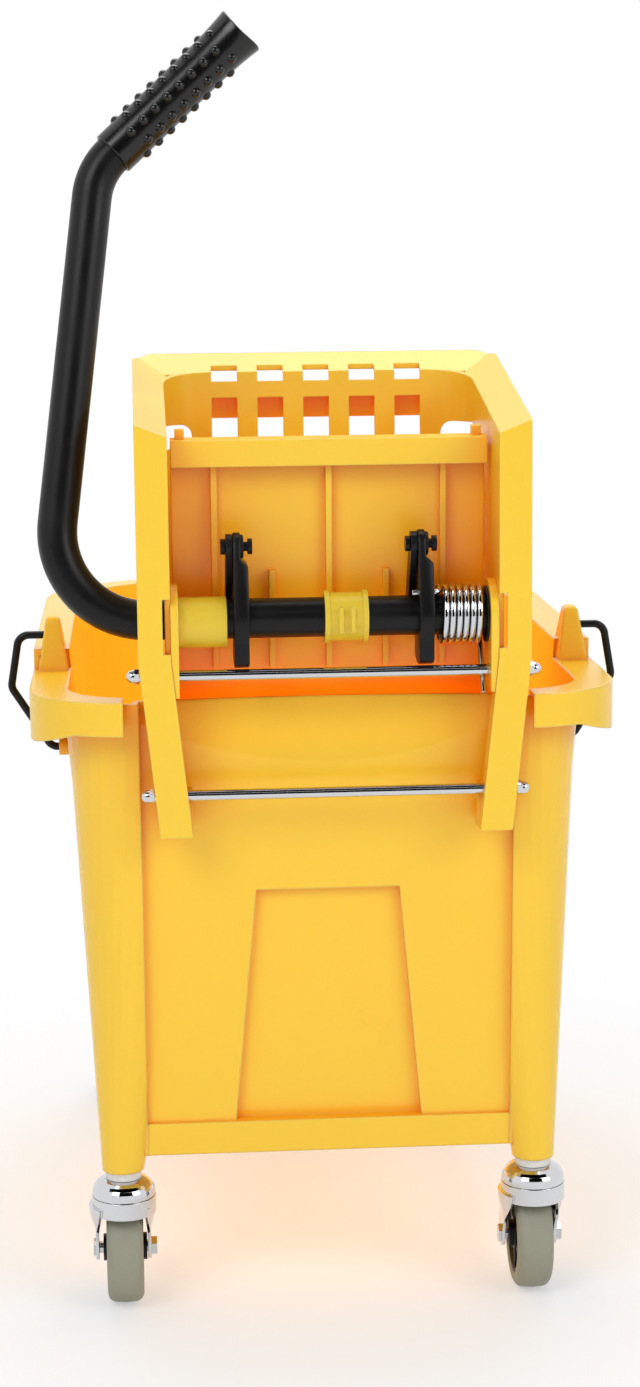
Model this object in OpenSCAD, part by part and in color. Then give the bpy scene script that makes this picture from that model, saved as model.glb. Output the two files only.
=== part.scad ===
// Wheeled mop bucket with a side press wringer hung on its near end
// +X right, +Y away from the wringer end, +Z up, origin on the floor under the middle

/* [Tub] */
// Length of the rim from the near lip to the far lip
tub_l = 540; // [500:5:600]
// Width of the rim over its skirts
tub_w = 384; // [370:2:410]
// Height of the rim at the wringer end
rim_z = 421; // [405:1:440]
// Rise of the rim behind the ears
rim_step = 13; // [8:1:18]
// Height of the rim skirt
skirt_h = 22; // [16:1:28]
// Extra height of the skirt along the sides
skirt_drop = 9; // [4:0.5:9]
// Overhang of the rim past the side walls
lip_side = 20; // [14:1:24]
// Overhang of the rim past the end walls
lip_end = 15; // [13:1:20]
// Thickness of the tub walls
tub_t = 4; // [3:0.5:5]
// Height of the underside of the tub
base_z = 108; // [104:1:120]
// Width across the side walls at the underside
base_w = 290; // [270:2:300]
// Length across the end walls at the underside
base_l = 468; // [440:2:490]
// Corner radius of the walls at the rim
rim_r = 48; // [36:1:56]
// Corner radius of the far walls at the rim
far_r = 110; // [90:1:120]
// Corner radius of the walls at the underside
base_r = 36; // [24:1:44]
// Diameter of a corner post
post_d = 28; // [26:1:34]
// Depth of the recessed field on the near wall
field_depth = 6; // [4:0.5:8]
// Depth of the trapezium panel below the field
panel_depth = 6; // [3:0.5:8]
// Height of the trapezium panel
panel_h = 160; // [120:2:180]

/* [Side handles] */
// Diameter of the side handle wire
wire_d = 5.2; // [4:0.2:6]
// Reach of the side handle past the rim skirt
wire_reach = 16; // [12:1:22]
// Distance of the ears from the near lip
ear_y = 150; // [130:1:180]
// Height of an ear above the near rim
ear_h = 37; // [30:1:44]

/* [Casters] */
// Wheel diameter
wheel_d = 74; // [66:1:80]
// Tyre width
tyre_w = 24.4; // [20:0.2:28]
// Distance of the swivel axis from the tub's middle plane
caster_x = 138; // [130:1:142]
// Distance of the swivel axis from the lip of the near or far end
caster_inset = 45; // [42:1:60]
// Trail of the wheel behind the swivel axis
trail = 15; // [8:1:20]
// Diameter of the swivel stem
stem_d = 11; // [9:0.5:12]
// Diameter of the swivel cup
cup_d = 42; // [38:1:46]
// Diameter of the axle bolt
axle_d = 8; // [6:0.5:9]

/* [Wringer frame] */
// Width of the wringer over its stiles
frame_w = 249; // [240:1:256]
// Depth of the wringer from stile front to back flange
frame_depth = 180; // [172:1:200]
// Offset of the wringer to the right of the tub's middle plane
wringer_x = 4; // [0:0.5:5]
// Width of a stile and of the top flange
stile_w = 20.6; // [19:0.2:22]
// Depth of a stile
stile_depth = 22; // [20:0.5:24]
// How far the stile fronts stand ahead of the near lip
stile_ahead = 6; // [4:0.5:8]
// Thickness of the wringer walls
frame_t = 3.5; // [3:0.25:4]
// Height of the inner flange edge above the rim seat at the front
frame_front_h = 171; // [160:1:180]
// Rise of the flange from front to back
frame_rise = 37; // [25:1:45]
// Rise of the flange from its inner to its outer edge
flange_rise = 8; // [4:0.5:10]
// Drop of the hanging legs below the rim seat
leg_drop = 83; // [76:1:90]
// Width of a drain hole in the back wall
grate_w = 17.5; // [12:0.5:20]
// Spacing of the drain hole columns
grate_pitch = 31.2; // [28:0.2:32]

/* [Press mechanism] */
// Diameter of the handle tube
tube_d = 25.4; // [22:0.2:26]
// Wall of the handle tube
tube_t = 2; // [1.2:0.1:3]
// Height of the shaft above the rim seat
shaft_h = 54; // [52:0.5:58]
// Distance of the shaft behind the stile fronts
shaft_y = 24; // [23:0.5:26]
// Length of the crank from shaft to pin
crank_r = 46; // [44:0.5:48]
// Thickness of a crank lever
lever_t = 9.5; // [8:0.5:10]
// Distance of a crank lever from the wringer's middle
lever_x = 58.8; // [56:0.2:60]
// Diameter of the crank and plate pins
pin_d = 6; // [5:0.25:7]
// Diameter of the tie rods and the plate hinge rod
rod_d = 7; // [6:0.25:8]
// Thickness of the press plate
plate_t = 4; // [3:0.25:5]
// Height of the press plate above its hinge
plate_h = 234; // [224:1:236]
// Lean of the press plate towards the handle at rest
plate_lean = 3.4; // [2:0.1:4]

/* [Torsion spring] */
// Diameter of the spring wire
spring_d = 3.8; // [3:0.1:3.8]
// Mean diameter of the coil
coil_d = 35.8; // [35:0.1:37]
// Full turns between the hooked end and the leg
coil_turns = 6; // [4:1:6]

/* [Handle] */
// Radius of the lower bend
bend_r = 56; // [50:1:62]
// Lean of the handle arm towards the wringer
arm_lean = 7.2; // [4:0.2:10]
// Backward tilt of the handle at rest
arm_tilt = 10; // [6:0.5:12]
// Straight length of the handle arm between its bends
arm_l = 208; // [180:2:240]
// Radius of the upper bend
top_r = 45; // [40:1:60]
// Angle of the upper bend
top_bend = 39.5; // [30:0.5:45]
// Length of the rubber grip
grip_l = 118; // [100:1:130]
// Diameter of the rubber grip
grip_d = 29.4; // [28:0.2:32]

/* [Hidden] */
$fn = 64;
hull_fn = 32;
// Clearances and small shared sizes
overrun = 1;
skin = 0.1;
fit_gap = 0.05;
rest_gap = 0.3;
seat_drop = 4;
// Bends stand a hair proud of the straight runs and lap over them
swell = 0.05;
lap = 0.5;

// Frame of the whole part
near_y = -tub_l / 2;
far_over = max(0, trail + wheel_d / 2 - caster_inset);
origin_shift = (stile_ahead - far_over) / 2;
seat_z = rim_z - seat_drop;

// Tub values
top_z = rim_z + rim_step;
top_w = tub_w - 2 * lip_side;
top_l = tub_l - 2 * lip_end;
tub_h = top_z - base_z;
wall_tilt = atan2((top_l - base_l) / 2, tub_h);
wall_run = tub_h / cos(wall_tilt);
side_slope_share = (top_w - base_w) / 2 / tub_h;
field_w = 242;
band_h = 22;
band_depth = 3;
panel_foot_w = 124;
panel_top_w = 94;
notch_w = 262;
scoop_r = 840;
scoop_tilt = 18;
scoop_h = 42;
skirt_slope_w = 30;
skirt_r = rim_r + lip_end;
far_skirt_r = far_r + lip_end;
side_skirt_h = skirt_h + skirt_drop;
ear_l = 30;
ear_tip_l = 14;
ear_foot_r = 10;
ear_tip_r = 5;
ear_inset = 13.5;
ear_x = tub_w / 2 - ear_inset;
socket_d = 18;
socket_h = 46;
post_under = 10;
post_z = base_z - post_under;
post_top = rim_z - side_skirt_h;
post_in = 1.2;
top_share = (post_top - base_z) / tub_h;
post_head_x = base_w / 2 + (top_w - base_w) / 2 * top_share - post_in;
post_head_y = base_l / 2 + (top_l - base_l) / 2 * top_share - post_in;

// Side handle route, from the ear to the wall boss
wire_up = 23;
wire_z = rim_z + wire_up;
wire_down = 13;
wire_low_z = rim_z - wire_down;
wire_out = tub_w / 2 + wire_reach;
wire_draw = 6;
wire_shoulder = wire_out - wire_draw;
boss_drop = 55;
boss_z = rim_z - boss_drop;
boss_r = 6;
boss_l = 10;
wall_x_boss = base_w / 2 + side_slope_share * (boss_z - base_z);
wire_knee_out = 15;
wire_knee = wall_x_boss + wire_knee_out;
wire_seat_out = 1;
wire_seat = wall_x_boss + wire_seat_out;
wire_bend = 8;
wire_turn_1 = atan2(wire_z - wire_low_z, wire_out - wire_shoulder);
wire_turn_3 = atan2(wire_low_z - boss_z, wire_out - wire_knee);
wire_turn_2 = 180 - wire_turn_1 - wire_turn_3;
wire_trim_1 = wire_bend * tan(wire_turn_1 / 2);
wire_trim_2 = wire_bend * tan(wire_turn_2 / 2);
wire_trim_3 = wire_bend * tan(wire_turn_3 / 2);
wire_run_1 = wire_shoulder - ear_x - wire_trim_1;
wire_run_2 = norm([wire_out - wire_shoulder, wire_z - wire_low_z]) - wire_trim_1 - wire_trim_2;
wire_run_3 = norm([wire_out - wire_knee, wire_low_z - boss_z]) - wire_trim_2 - wire_trim_3;
wire_run_4 = wire_knee - wire_seat - wire_trim_3;

// Caster values
axle_z = wheel_d / 2;
crown_gap = 3.5;
crown_t = 2.5;
crown_z = wheel_d + crown_gap;
crown_top = crown_z + crown_t;
fork_w = 35;
fork_l = 38;
fork_skirt = 6;
fork_eye_r = 9;
cup_z = crown_top + rest_gap;
cup_rise = 12;
cup_top = cup_z + cup_rise;
cup_neck_r = 10;
cup_t = 2;
cup_brim = 3;
collar_r = 12;
tread_t = 10;
tyre_edge = 3;
hub_inset = 1;
hub_w = tyre_w - 2 * hub_inset;
hub_face = 4;
hub_boss_r = 9;
bolt_head_r = 6.5;
bolt_head_h = 4;

// Wringer values, with Y counted from the near lip and X from the wringer's middle
front_y = -stile_ahead;
back_y = front_y + frame_depth;
in_x = frame_w / 2 - stile_w;
in_back = back_y - stile_w;
in_r = 28;
flange_z = seat_z + frame_front_h;
slope = atan2(frame_rise, frame_depth);
flange_skirt = 9;
flange_r = 16;
slot_y = 44;
basket_drop = 87;
basket_z = seat_z - basket_drop;
lean_rise = 30;
lean_z = seat_z + lean_rise;
leg_lean = 6;
leg_top_rise = 7;
leg_top_z = seat_z + leg_top_rise;
leg_depth = 16;
leg_h = lean_z - seat_z + leg_drop;
leg_z = lean_z - leg_h;
back_flange_rise = flange_rise + stile_w * tan(slope);
foot_h = 28;
foot_w = 14;
foot_l = 13;
notch_depth = 5;
notch_rise = 35;
notch_z = seat_z + notch_rise;
notch_h = 35;
grate_rows = 4;
grate_h = 27;
grate_row = 38;
grate_rise = 186.5;
grate_z = seat_z + grate_rise;
grate_top_h = 11;
grate_bar = 11;
shelf_drop = 3.5;
shelf_h = 22;
shelf_l = 14;
shelf_w = 190;
hand_slot_h = 16;
hand_slot_rise = 153;
hand_slot_z = seat_z + hand_slot_rise;
hand_slot_x = 85;
hand_slot_y = 26;
drain_w = 8;
drain_h = 10.5;
drain_rows = 3;
drain_row = 39;
drain_y = 66;
drain_step = 34;
floor_slot_l = 46;

// Mechanism values
shaft_cy = front_y + shaft_y;
shaft_z = seat_z + shaft_h;
tube_r = tube_d / 2;
bracket_t = 5;
bracket_x = in_x - bracket_t;
bracket_r = 23;
bracket_foot = 47;
rod_r = rod_d / 2;
rod_set = 13;
rod_y = front_y + rod_set;
rod_rise = 19.5;
rod_z = seat_z + rod_rise;
low_rod_set = 8;
low_rod_y = front_y + low_rod_set;
low_rod_drop = 57;
low_rod_z = seat_z - low_rod_drop;
nut_r = 6;
nut_t = 4;
nut_gap = nut_r * tan(leg_lean) + fit_gap;
shaft_clear = 2.8;
shaft_hole_r = tube_r + shaft_clear;
bush_d = 32.4;
bush_drop = 2;
bush_gap = 4.5;
bush_end = lever_x + lever_t / 2 + bush_gap;
hinge_set = 64;
hinge_y = front_y + hinge_set;
hinge_drop = 67;
hinge_z = seat_z - hinge_drop;
link_set = 51.5;
link_y = front_y + link_set;
link_rise = 53;
link_z = seat_z + link_rise;
plate_side_gap = 2.5;
plate_w = 2 * in_x - 2 * plate_side_gap;
barrel_r = 7;
plate_set = 4;
rib_t = 4;
rib_depth = 6;
rib_step = 74;
rib_foot = 84;
short_rib_h = 64;
lip_h = 17;
lip_depth = 14;
corner_lug = 6;
lug_t = 6;
lug_r = 8;
lug_l = 12;
link_t = 4;
link_r = 8;
link_tip_r = 7.2;
open_gap = 2;
lever_hub_r = 20.5;
lever_eye_r = 9;
lever_tail_w = 30;
lever_tail_r = 31.5;
pin_head_r = 5;
pin_head_t = 3;
washer_r = 6.5;
washer_t = 2;
clip_x = 8;
clip_w = 27.6;
clip_r = 15.5;
clip_rim_r = 16.8;
clip_rim_t = 3;
clip_key_w = 5;
clip_key_h = 16;
clip_key_out = 2.5;
collar_t = 1.5;
collar_od = 36;
shaft_end_in = 1;
shaft_end = in_x + frame_t - shaft_end_in;
bend_in = 6.5;
bend_x = frame_w / 2 - bend_in;

// Spring values
coil_r = coil_d / 2;
hook_angle = -30;
hook_past = 4;
hook_x = lever_x - lever_t / 2 - hook_past;
hook_gap = 0.4;
lever_face = lever_x + lever_t / 2;
coil_start_x = lever_face + spring_d;
coil_end_x = bracket_x - fit_gap - collar_t - rest_gap - spring_d / 2;
leg_pass = rod_r + spring_d / 2 + rest_gap;
leg_past = 14;

// Shared shapes

// Rounded rectangle whose near and far corners differ
module tub_plan(w, l, r_near, r_far) {
    translate([-w / 2, r_near - l / 2]) square([w, l - r_near - r_far]);
    translate([r_near - w / 2, -l / 2]) square([w - 2 * r_near, l / 2]);
    translate([r_far - w / 2, 0]) square([w - 2 * r_far, l / 2]);
    for (x = [-1, 1]) {
        translate([x * (w / 2 - r_near), r_near - l / 2]) circle(r_near);
        translate([x * (w / 2 - r_far), l / 2 - r_far]) circle(r_far);
    }
}

// Bar with round ends of two radii, joined by their outer tangents
module taper_bar(p, rp, q, rq) {
    d = q - p;
    run = norm(d);
    turn = atan2(d[1], d[0]);
    open = acos((rp - rq) / run);
    a = turn + open;
    b = turn - open;
    translate(p) circle(rp);
    translate(q) circle(rq);
    polygon([
        p + rp * [cos(a), sin(a)], p + rp * [cos(b), sin(b)],
        q + rq * [cos(b), sin(b)], q + rq * [cos(a), sin(a)]
    ]);
}

// Cylinder along X from x0 to x1
module x_bar(x0, x1, r, y = 0, z = 0) {
    translate([x0, y, z]) rotate([0, 90, 0]) cylinder(r = r, h = x1 - x0);
}

// Flat shape drawn in Y and Z, given a thickness along X from x0
module yz_plate(x0, t) {
    translate([x0, 0, 0]) rotate([90, 0, 90]) linear_extrude(t) children();
}

// Flat shape drawn in X and Z, given a depth along Y from y0
module xz_plate(y0, l) {
    translate([0, y0 + l, 0]) rotate([90, 0, 0]) linear_extrude(l) children();
}

// Straight rod along local Y with some length added at each end
module rod_run(l, r, past0, past1) {
    translate([0, -past0, 0]) rotate([-90, 0, 0]) cylinder(r = r, h = l + past0 + past1);
}

// Bent rod that starts along local Y and turns towards +X
module rod_bend(bend, turn, r) {
    translate([bend, 0, 0]) rotate([0, 0, 180 - turn]) rotate_extrude(angle = turn)
        translate([bend, 0]) circle(r + swell);
}

// Frame at the end of a bend
module after_bend(bend, turn) {
    translate([bend * (1 - cos(turn)), bend * sin(turn), 0]) rotate([0, 0, -turn]) children();
}

// Frame of the tub, shifted so that the whole part is centred on the origin
module in_tub() {
    translate([0, origin_shift, 0]) children();
}

// Frame of the wringer, at the near lip and the wringer's own middle
module in_wringer() {
    translate([wringer_x, near_y + origin_shift, 0]) children();
}

// Frame of one swivel axis; along is -1 near and 1 far, side is -1 left and 1 right
module at_caster(along, side) {
    in_tub() translate([side * caster_x, along * (tub_l / 2 - caster_inset), 0]) children();
}

// Tub

// Body between two rounded rectangles, drawn in by a wall thickness
module wall_loft(inset) {
    hull() {
        translate([0, 0, base_z + inset])
            linear_extrude(skin)
                tub_plan(base_w - 2 * inset, base_l - 2 * inset, base_r - inset, base_r - inset, $fn = hull_fn);
        translate([0, 0, top_z - skin + (inset > 0 ? overrun : 0)])
            linear_extrude(skin)
                tub_plan(top_w - 2 * inset, top_l - 2 * inset, rim_r - inset, far_r - inset, $fn = hull_fn);
    }
}

// Frame on the outer face of the near wall, with local Y pointing into the tub
module on_near_wall() {
    translate([0, -base_l / 2, base_z]) rotate([wall_tilt, 0, 0]) children();
}

// Everything pressed into the near wall, grown by a wall thickness for the inside
module near_form(grow) {
    on_near_wall() {
        translate([-field_w / 2 - grow, -overrun - lip_end, band_h - grow])
            cube([field_w + 2 * grow, field_depth + grow + overrun + lip_end, wall_run]);
        translate([-field_w / 2 - grow, -overrun, -overrun])
            cube([field_w + 2 * grow, band_depth + grow + overrun, band_h + overrun]);
        xz_plate(-overrun, field_depth + panel_depth + grow + overrun)
            polygon([
                [-panel_foot_w / 2 - grow, band_h - grow], [panel_foot_w / 2 + grow, band_h - grow],
                [panel_top_w / 2 + grow, band_h + panel_h + grow],
                [-panel_top_w / 2 - grow, band_h + panel_h + grow]
            ]);
        intersection() {
            translate([0, field_depth, (seat_z - base_z) / cos(wall_tilt) - scoop_h])
                rotate([-scoop_tilt, 0, 0]) translate([0, -scoop_r, -scoop_h])
                    cylinder(r = scoop_r + grow, h = 3 * scoop_h, $fn = 3 * $fn);
            translate([-field_w / 2 - grow, -overrun - lip_end, band_h + panel_h])
                cube([field_w + 2 * grow, tub_l / 2, wall_run]);
        }
    }
}

// Rim skirt and shelf whose top lies at z, with the skirt drawn up along the near end
module rim_skirt(z) {
    difference() {
        translate([0, 0, z - side_skirt_h]) linear_extrude(side_skirt_h) difference() {
            tub_plan(tub_w, tub_l, skirt_r, far_skirt_r);
            tub_plan(tub_w - 2 * tub_t, tub_l - 2 * tub_t, skirt_r - tub_t, far_skirt_r - tub_t);
        }
        xz_plate(near_y - overrun, skirt_r) polygon([
            [-tub_w / 2, z - side_skirt_h - overrun], [tub_w / 2, z - side_skirt_h - overrun],
            [tub_w / 2 - skirt_slope_w, z - skirt_h], [skirt_slope_w - tub_w / 2, z - skirt_h]
        ]);
    }
    translate([0, 0, z - tub_t]) linear_extrude(tub_t) difference() {
        tub_plan(tub_w, tub_l, skirt_r, far_skirt_r);
        tub_plan(top_w - tub_t, top_l - tub_t, rim_r - tub_t / 2, far_r - tub_t / 2);
    }
}

// Half of space on the near or far side of the ears, at rim height
module rim_zone(along) {
    y0 = along < 0 ? near_y - overrun : near_y + ear_y;
    y1 = along < 0 ? near_y + ear_y : -near_y + overrun;
    translate([-tub_w, y0, base_z]) cube([2 * tub_w, y1 - y0, tub_h + overrun]);
}

// Upright ear that holds one end of a side handle, tapered on all sides
module ear() {
    y = near_y + ear_y;
    top = rim_z + ear_h;
    intersection() {
        xz_plate(y - ear_l / 2, ear_l) taper_bar([ear_x, rim_z], ear_foot_r, [ear_x, top - ear_tip_r], ear_tip_r);
        yz_plate(ear_x - ear_l, 2 * ear_l) taper_bar([y, rim_z], ear_l / 2, [y, top - ear_tip_l / 2], ear_tip_l / 2);
    }
}

// Caster posts: cones that lean out from the foot and run into the rim corners
module posts() {
    for (x = [-1, 1], y = [-1, 1]) {
        r = base_r + ((y < 0 ? rim_r : far_r) - base_r) * top_share - post_in;
        hull() {
            translate([x * caster_x, y * (tub_l / 2 - caster_inset), post_z])
                cylinder(d = post_d, h = skin, $fn = hull_fn);
            translate([x * (post_head_x - r), y * (post_head_y - r), post_top - skin])
                cylinder(r = r, h = skin, $fn = hull_fn);
        }
    }
}

// Round core of a post that holds the caster sleeve
module sockets() {
    for (x = [-1, 1], y = [-1, 1])
        translate([x * caster_x, y * (tub_l / 2 - caster_inset), post_z + skin])
            cylinder(d = post_d - 2 * skin, h = socket_h);
}

module tub() {
    color("gold") in_tub() difference() {
        union() {
            difference() {
                union() {
                    difference() {
                        wall_loft(0);
                        translate([-tub_w, near_y - overrun, rim_z])
                            cube([2 * tub_w, ear_y + overrun, rim_step + overrun]);
                    }
                    posts();
                }
                difference() {
                    wall_loft(tub_t);
                    near_form(tub_t);
                }
                near_form(0);
            }
            intersection() {
                rim_skirt(rim_z);
                rim_zone(-1);
            }
            intersection() {
                rim_skirt(top_z);
                rim_zone(1);
            }
            sockets();
            for (side = [0, 1]) mirror([side, 0, 0]) {
                ear();
                x_bar(wall_x_boss - tub_t / 2, wall_x_boss + boss_l, boss_r, near_y + ear_y, boss_z);
            }
        }
        translate([-notch_w / 2, near_y - overrun, rim_z - skirt_h - overrun])
            cube([notch_w, lip_end + overrun, skirt_h + 2 * overrun]);
        translate([-notch_w / 2, near_y - overrun, seat_z])
            cube([notch_w, ear_y / 2, seat_drop + overrun]);
        for (x = [-1, 1], y = [-1, 1])
            translate([x * caster_x, y * (tub_l / 2 - caster_inset), post_z - overrun])
                cylinder(d = socket_d + 2 * fit_gap, h = socket_h - tub_t + overrun);
        for (side = [0, 1]) mirror([side, 0, 0]) {
            x_bar(ear_x - fit_gap, ear_x + ear_foot_r + overrun, wire_d / 2 + fit_gap, near_y + ear_y, wire_z);
            x_bar(wire_seat - fit_gap, wire_knee, wire_d / 2 + fit_gap, near_y + ear_y, boss_z);
        }
    }
}

// Side handles

// Wire from the ear, out round the rim skirt and back to the wall boss
module wire_route() {
    r = wire_d / 2;
    translate([ear_x, near_y + ear_y, wire_z]) rotate([0, 90, -90]) {
        rod_run(wire_run_1, r, 0, lap);
        translate([0, wire_run_1, 0]) {
            rod_bend(wire_bend, wire_turn_1, r);
            after_bend(wire_bend, wire_turn_1) {
                rod_run(wire_run_2, r, lap, lap);
                translate([0, wire_run_2, 0]) {
                    rod_bend(wire_bend, wire_turn_2, r);
                    after_bend(wire_bend, wire_turn_2) {
                        rod_run(wire_run_3, r, lap, lap);
                        translate([0, wire_run_3, 0]) {
                            rod_bend(wire_bend, wire_turn_3, r);
                            after_bend(wire_bend, wire_turn_3) rod_run(wire_run_4, r, lap, 0);
                        }
                    }
                }
            }
        }
    }
}

module side_handle_left() {
    color("dimgray") in_tub() mirror([1, 0, 0]) wire_route();
}

module side_handle_right() {
    color("dimgray") in_tub() wire_route();
}

// Casters

module caster_sleeve(along, side) {
    color("white") at_caster(along, side) difference() {
        union() {
            translate([0, 0, cup_top]) cylinder(r = collar_r, h = post_z - cup_top);
            translate([0, 0, post_z]) cylinder(d = socket_d, h = socket_h - tub_t);
        }
        translate([0, 0, cup_top - overrun])
            cylinder(d = stem_d + 2 * fit_gap, h = post_z - cup_top + socket_h + overrun);
    }
}

module caster_stem(along, side) {
    color("silver") at_caster(along, side) {
        translate([0, 0, crown_z]) cylinder(d = stem_d, h = post_z + socket_h - tub_t - crown_z);
        translate([0, 0, crown_z - crown_gap / 2])
            cylinder(d = stem_d + crown_gap, h = crown_gap / 2 - fit_gap);
        translate([0, 0, crown_z - fit_gap]) cylinder(d = stem_d, h = fit_gap);
    }
}

// Domed cover over the swivel balls
module caster_cup(along, side) {
    cup_r = cup_d / 2;
    dome_h = cup_rise - cup_brim;
    color("silver") at_caster(along, side) translate([0, 0, cup_z]) rotate_extrude() difference() {
        polygon(concat(
            [[stem_d / 2 + fit_gap, cup_rise], [stem_d / 2 + fit_gap, 0], [cup_r, 0]],
            [for (a = [0 : 15 : 90])
                [cup_neck_r + (cup_r - cup_neck_r) * cos(a), cup_brim + dome_h * sin(a)]]
        ));
        polygon([
            [cup_neck_r, -overrun], [cup_r - cup_t, -overrun], [cup_r - cup_t, cup_brim],
            [cup_neck_r, cup_rise - 2 * cup_t]
        ]);
    }
}

// Stamped fork: crown with a short front apron and two tapering legs
module caster_fork(along, side) {
    color("silver") at_caster(along, side) difference() {
        union() {
            translate([-fork_w / 2, -fork_l / 2, crown_z]) cube([fork_w, fork_l, crown_t]);
            translate([-fork_w / 2, -fork_l / 2, crown_z - fork_skirt])
                cube([fork_w, crown_t, fork_skirt + crown_t]);
            for (leg = [-fork_w / 2, fork_w / 2 - crown_t]) yz_plate(leg, crown_t) {
                polygon([
                    [-fork_l / 2, crown_top], [-fork_l / 2, crown_z - fork_skirt],
                    [trail - fork_eye_r, axle_z], [trail + fork_eye_r, axle_z],
                    [fork_l / 2, crown_z - fork_skirt], [fork_l / 2, crown_top]
                ]);
                translate([trail, axle_z]) circle(fork_eye_r);
            }
        }
        translate([0, 0, crown_z - overrun]) cylinder(d = stem_d + 2 * fit_gap, h = crown_t + 2 * overrun);
        x_bar(-fork_w, fork_w, axle_d / 2 + fit_gap, trail, axle_z);
    }
}

// Axle bolt with its head and nut
module caster_axle(along, side) {
    color("silver") at_caster(along, side) translate([0, trail, axle_z]) {
        x_bar(-fork_w / 2 - bolt_head_h, fork_w / 2 + bolt_head_h, axle_d / 2);
        for (x0 = [-fork_w / 2 - bolt_head_h, fork_w / 2])
            translate([x0, 0, 0]) rotate([0, 90, 0]) cylinder(r = bolt_head_r, h = bolt_head_h, $fn = 6);
    }
}

// Dished hub that turns on the axle
module wheel_hub(along, side) {
    rim_in = wheel_d / 2 - tread_t;
    color("dimgray") at_caster(along, side) translate([0, trail, axle_z]) rotate([0, 90, 0]) rotate_extrude()
        difference() {
            union() {
                translate([axle_d / 2 + fit_gap, -hub_w / 2]) square([rim_in - axle_d / 2 - fit_gap, hub_w]);
                translate([axle_d / 2 + fit_gap, -fork_w / 2 + crown_t + rest_gap])
                    square([hub_boss_r - axle_d / 2, fork_w - 2 * crown_t - 2 * rest_gap]);
            }
            for (end = [0, 1]) mirror([0, end])
                polygon([
                    [hub_boss_r + hub_face / 2, hub_w / 2 - hub_face],
                    [rim_in - hub_face, hub_w / 2 - hub_face],
                    [rim_in - hub_face / 2, hub_w / 2 + overrun],
                    [hub_boss_r + hub_face / 2, hub_w / 2 + overrun]
                ]);
        }
}

// Tyre ring with rounded shoulders
module wheel_tyre(along, side) {
    r1 = wheel_d / 2;
    color("darkgray") at_caster(along, side) translate([0, trail, axle_z]) rotate([0, 90, 0]) rotate_extrude()
        difference() {
            union() {
                translate([r1 - tread_t, -tyre_w / 2]) square([tread_t - tyre_edge, tyre_w]);
                translate([r1 - tread_t, tyre_edge - tyre_w / 2]) square([tread_t, tyre_w - 2 * tyre_edge]);
                for (x = [-1, 1]) translate([r1 - tyre_edge, x * (tyre_w / 2 - tyre_edge)]) circle(tyre_edge);
            }
            translate([0, -tyre_w]) square([r1 - tread_t, 2 * tyre_w]);
        }
}

// Wringer frame

// Inside of the basket as seen from above, grown outwards
module basket_plan(grow) {
    r = in_r + grow;
    x = in_x + grow;
    y = in_back + grow;
    y0 = front_y - (grow > 0 ? 0 : overrun);
    translate([-x, y0]) square([2 * x, y - r - y0]);
    translate([r - x, y0]) square([2 * (x - r), y - y0]);
    for (s = [-1, 1]) translate([s * (x - r), y - r]) circle(r);
}

// Basket wall with sloping top and the slot that drops over the tub wall
module basket_wall() {
    top_back = flange_z + (in_back + frame_t - front_y) * tan(slope);
    intersection() {
        translate([0, 0, basket_z]) linear_extrude(flange_z + frame_rise - basket_z) difference() {
            basket_plan(frame_t);
            basket_plan(0);
        }
        yz_plate(-frame_w / 2, frame_w) polygon([
            [front_y, flange_z], [in_back + frame_t, top_back], [in_back + frame_t, basket_z],
            [slot_y, basket_z], [slot_y, seat_z + rest_gap], [front_y, seat_z + rest_gap]
        ]);
    }
}

// Sloping slab of the flange, from inside the basket wall to past its outer edge; heights run down the page
module flange_profile(x0, rise, depth) {
    in_run = 2 * overrun;
    in_drop = in_run * rise / stile_w;
    out_run = stile_w + overrun;
    out_rise = out_run * rise / stile_w;
    polygon([
        [x0 - in_run, in_drop], [x0 + out_run, -out_rise], [x0 + out_run, depth - out_rise],
        [x0 - in_run, depth + in_drop]
    ]);
}

// Slabs of both sides and the back, which meet in a mitre
module flange_slab(depth) {
    back_z = flange_z + (in_back - front_y) * tan(slope);
    for (side = [0, 1]) mirror([side, 0, 0])
        translate([0, front_y, flange_z]) rotate([slope - 90, 0, 0]) translate([0, 0, -2 * frame_t])
            linear_extrude(frame_depth / cos(slope) + 4 * frame_t) flange_profile(in_x, flange_rise, depth);
    translate([-frame_w / 2 - overrun, 0, back_z]) rotate([90, 180, 90]) mirror([1, 0, 0])
        linear_extrude(frame_w + 2 * overrun) flange_profile(in_back, back_flange_rise, depth);
}

// Outline of the flange as seen from above, drawn in from its outer edge
module flange_plan(inset) {
    r = flange_r - inset;
    w = frame_w - 2 * inset;
    y0 = front_y - (inset > 0 ? overrun : 0);
    y1 = back_y - inset;
    translate([-w / 2, y0]) square([w, y1 - r - y0]);
    translate([r - w / 2, y0]) square([w - 2 * r, y1 - y0]);
    for (s = [-1, 1]) translate([s * (w / 2 - r), y1 - r]) circle(r);
}

// Flange round the top of the basket, with a short skirt round its edge
module top_flange() {
    low = flange_z - frame_depth;
    difference() {
        union() {
            intersection() {
                flange_slab(frame_t);
                translate([0, 0, low]) linear_extrude(2 * frame_depth) flange_plan(0);
            }
            intersection() {
                flange_slab(flange_skirt);
                translate([0, 0, low]) linear_extrude(2 * frame_depth) difference() {
                    flange_plan(0);
                    flange_plan(frame_t);
                }
            }
        }
        translate([0, 0, low]) linear_extrude(2 * frame_depth) basket_plan(0);
    }
}

// Inward shift of a leg at height z
function lean_at(z) = min(0, z - lean_z) * tan(leg_lean);

// Height of the stile's sloping head at a distance from its inner face
function head_at(x) = flange_z - frame_t / 2 + flange_rise * x / stile_w;

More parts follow.
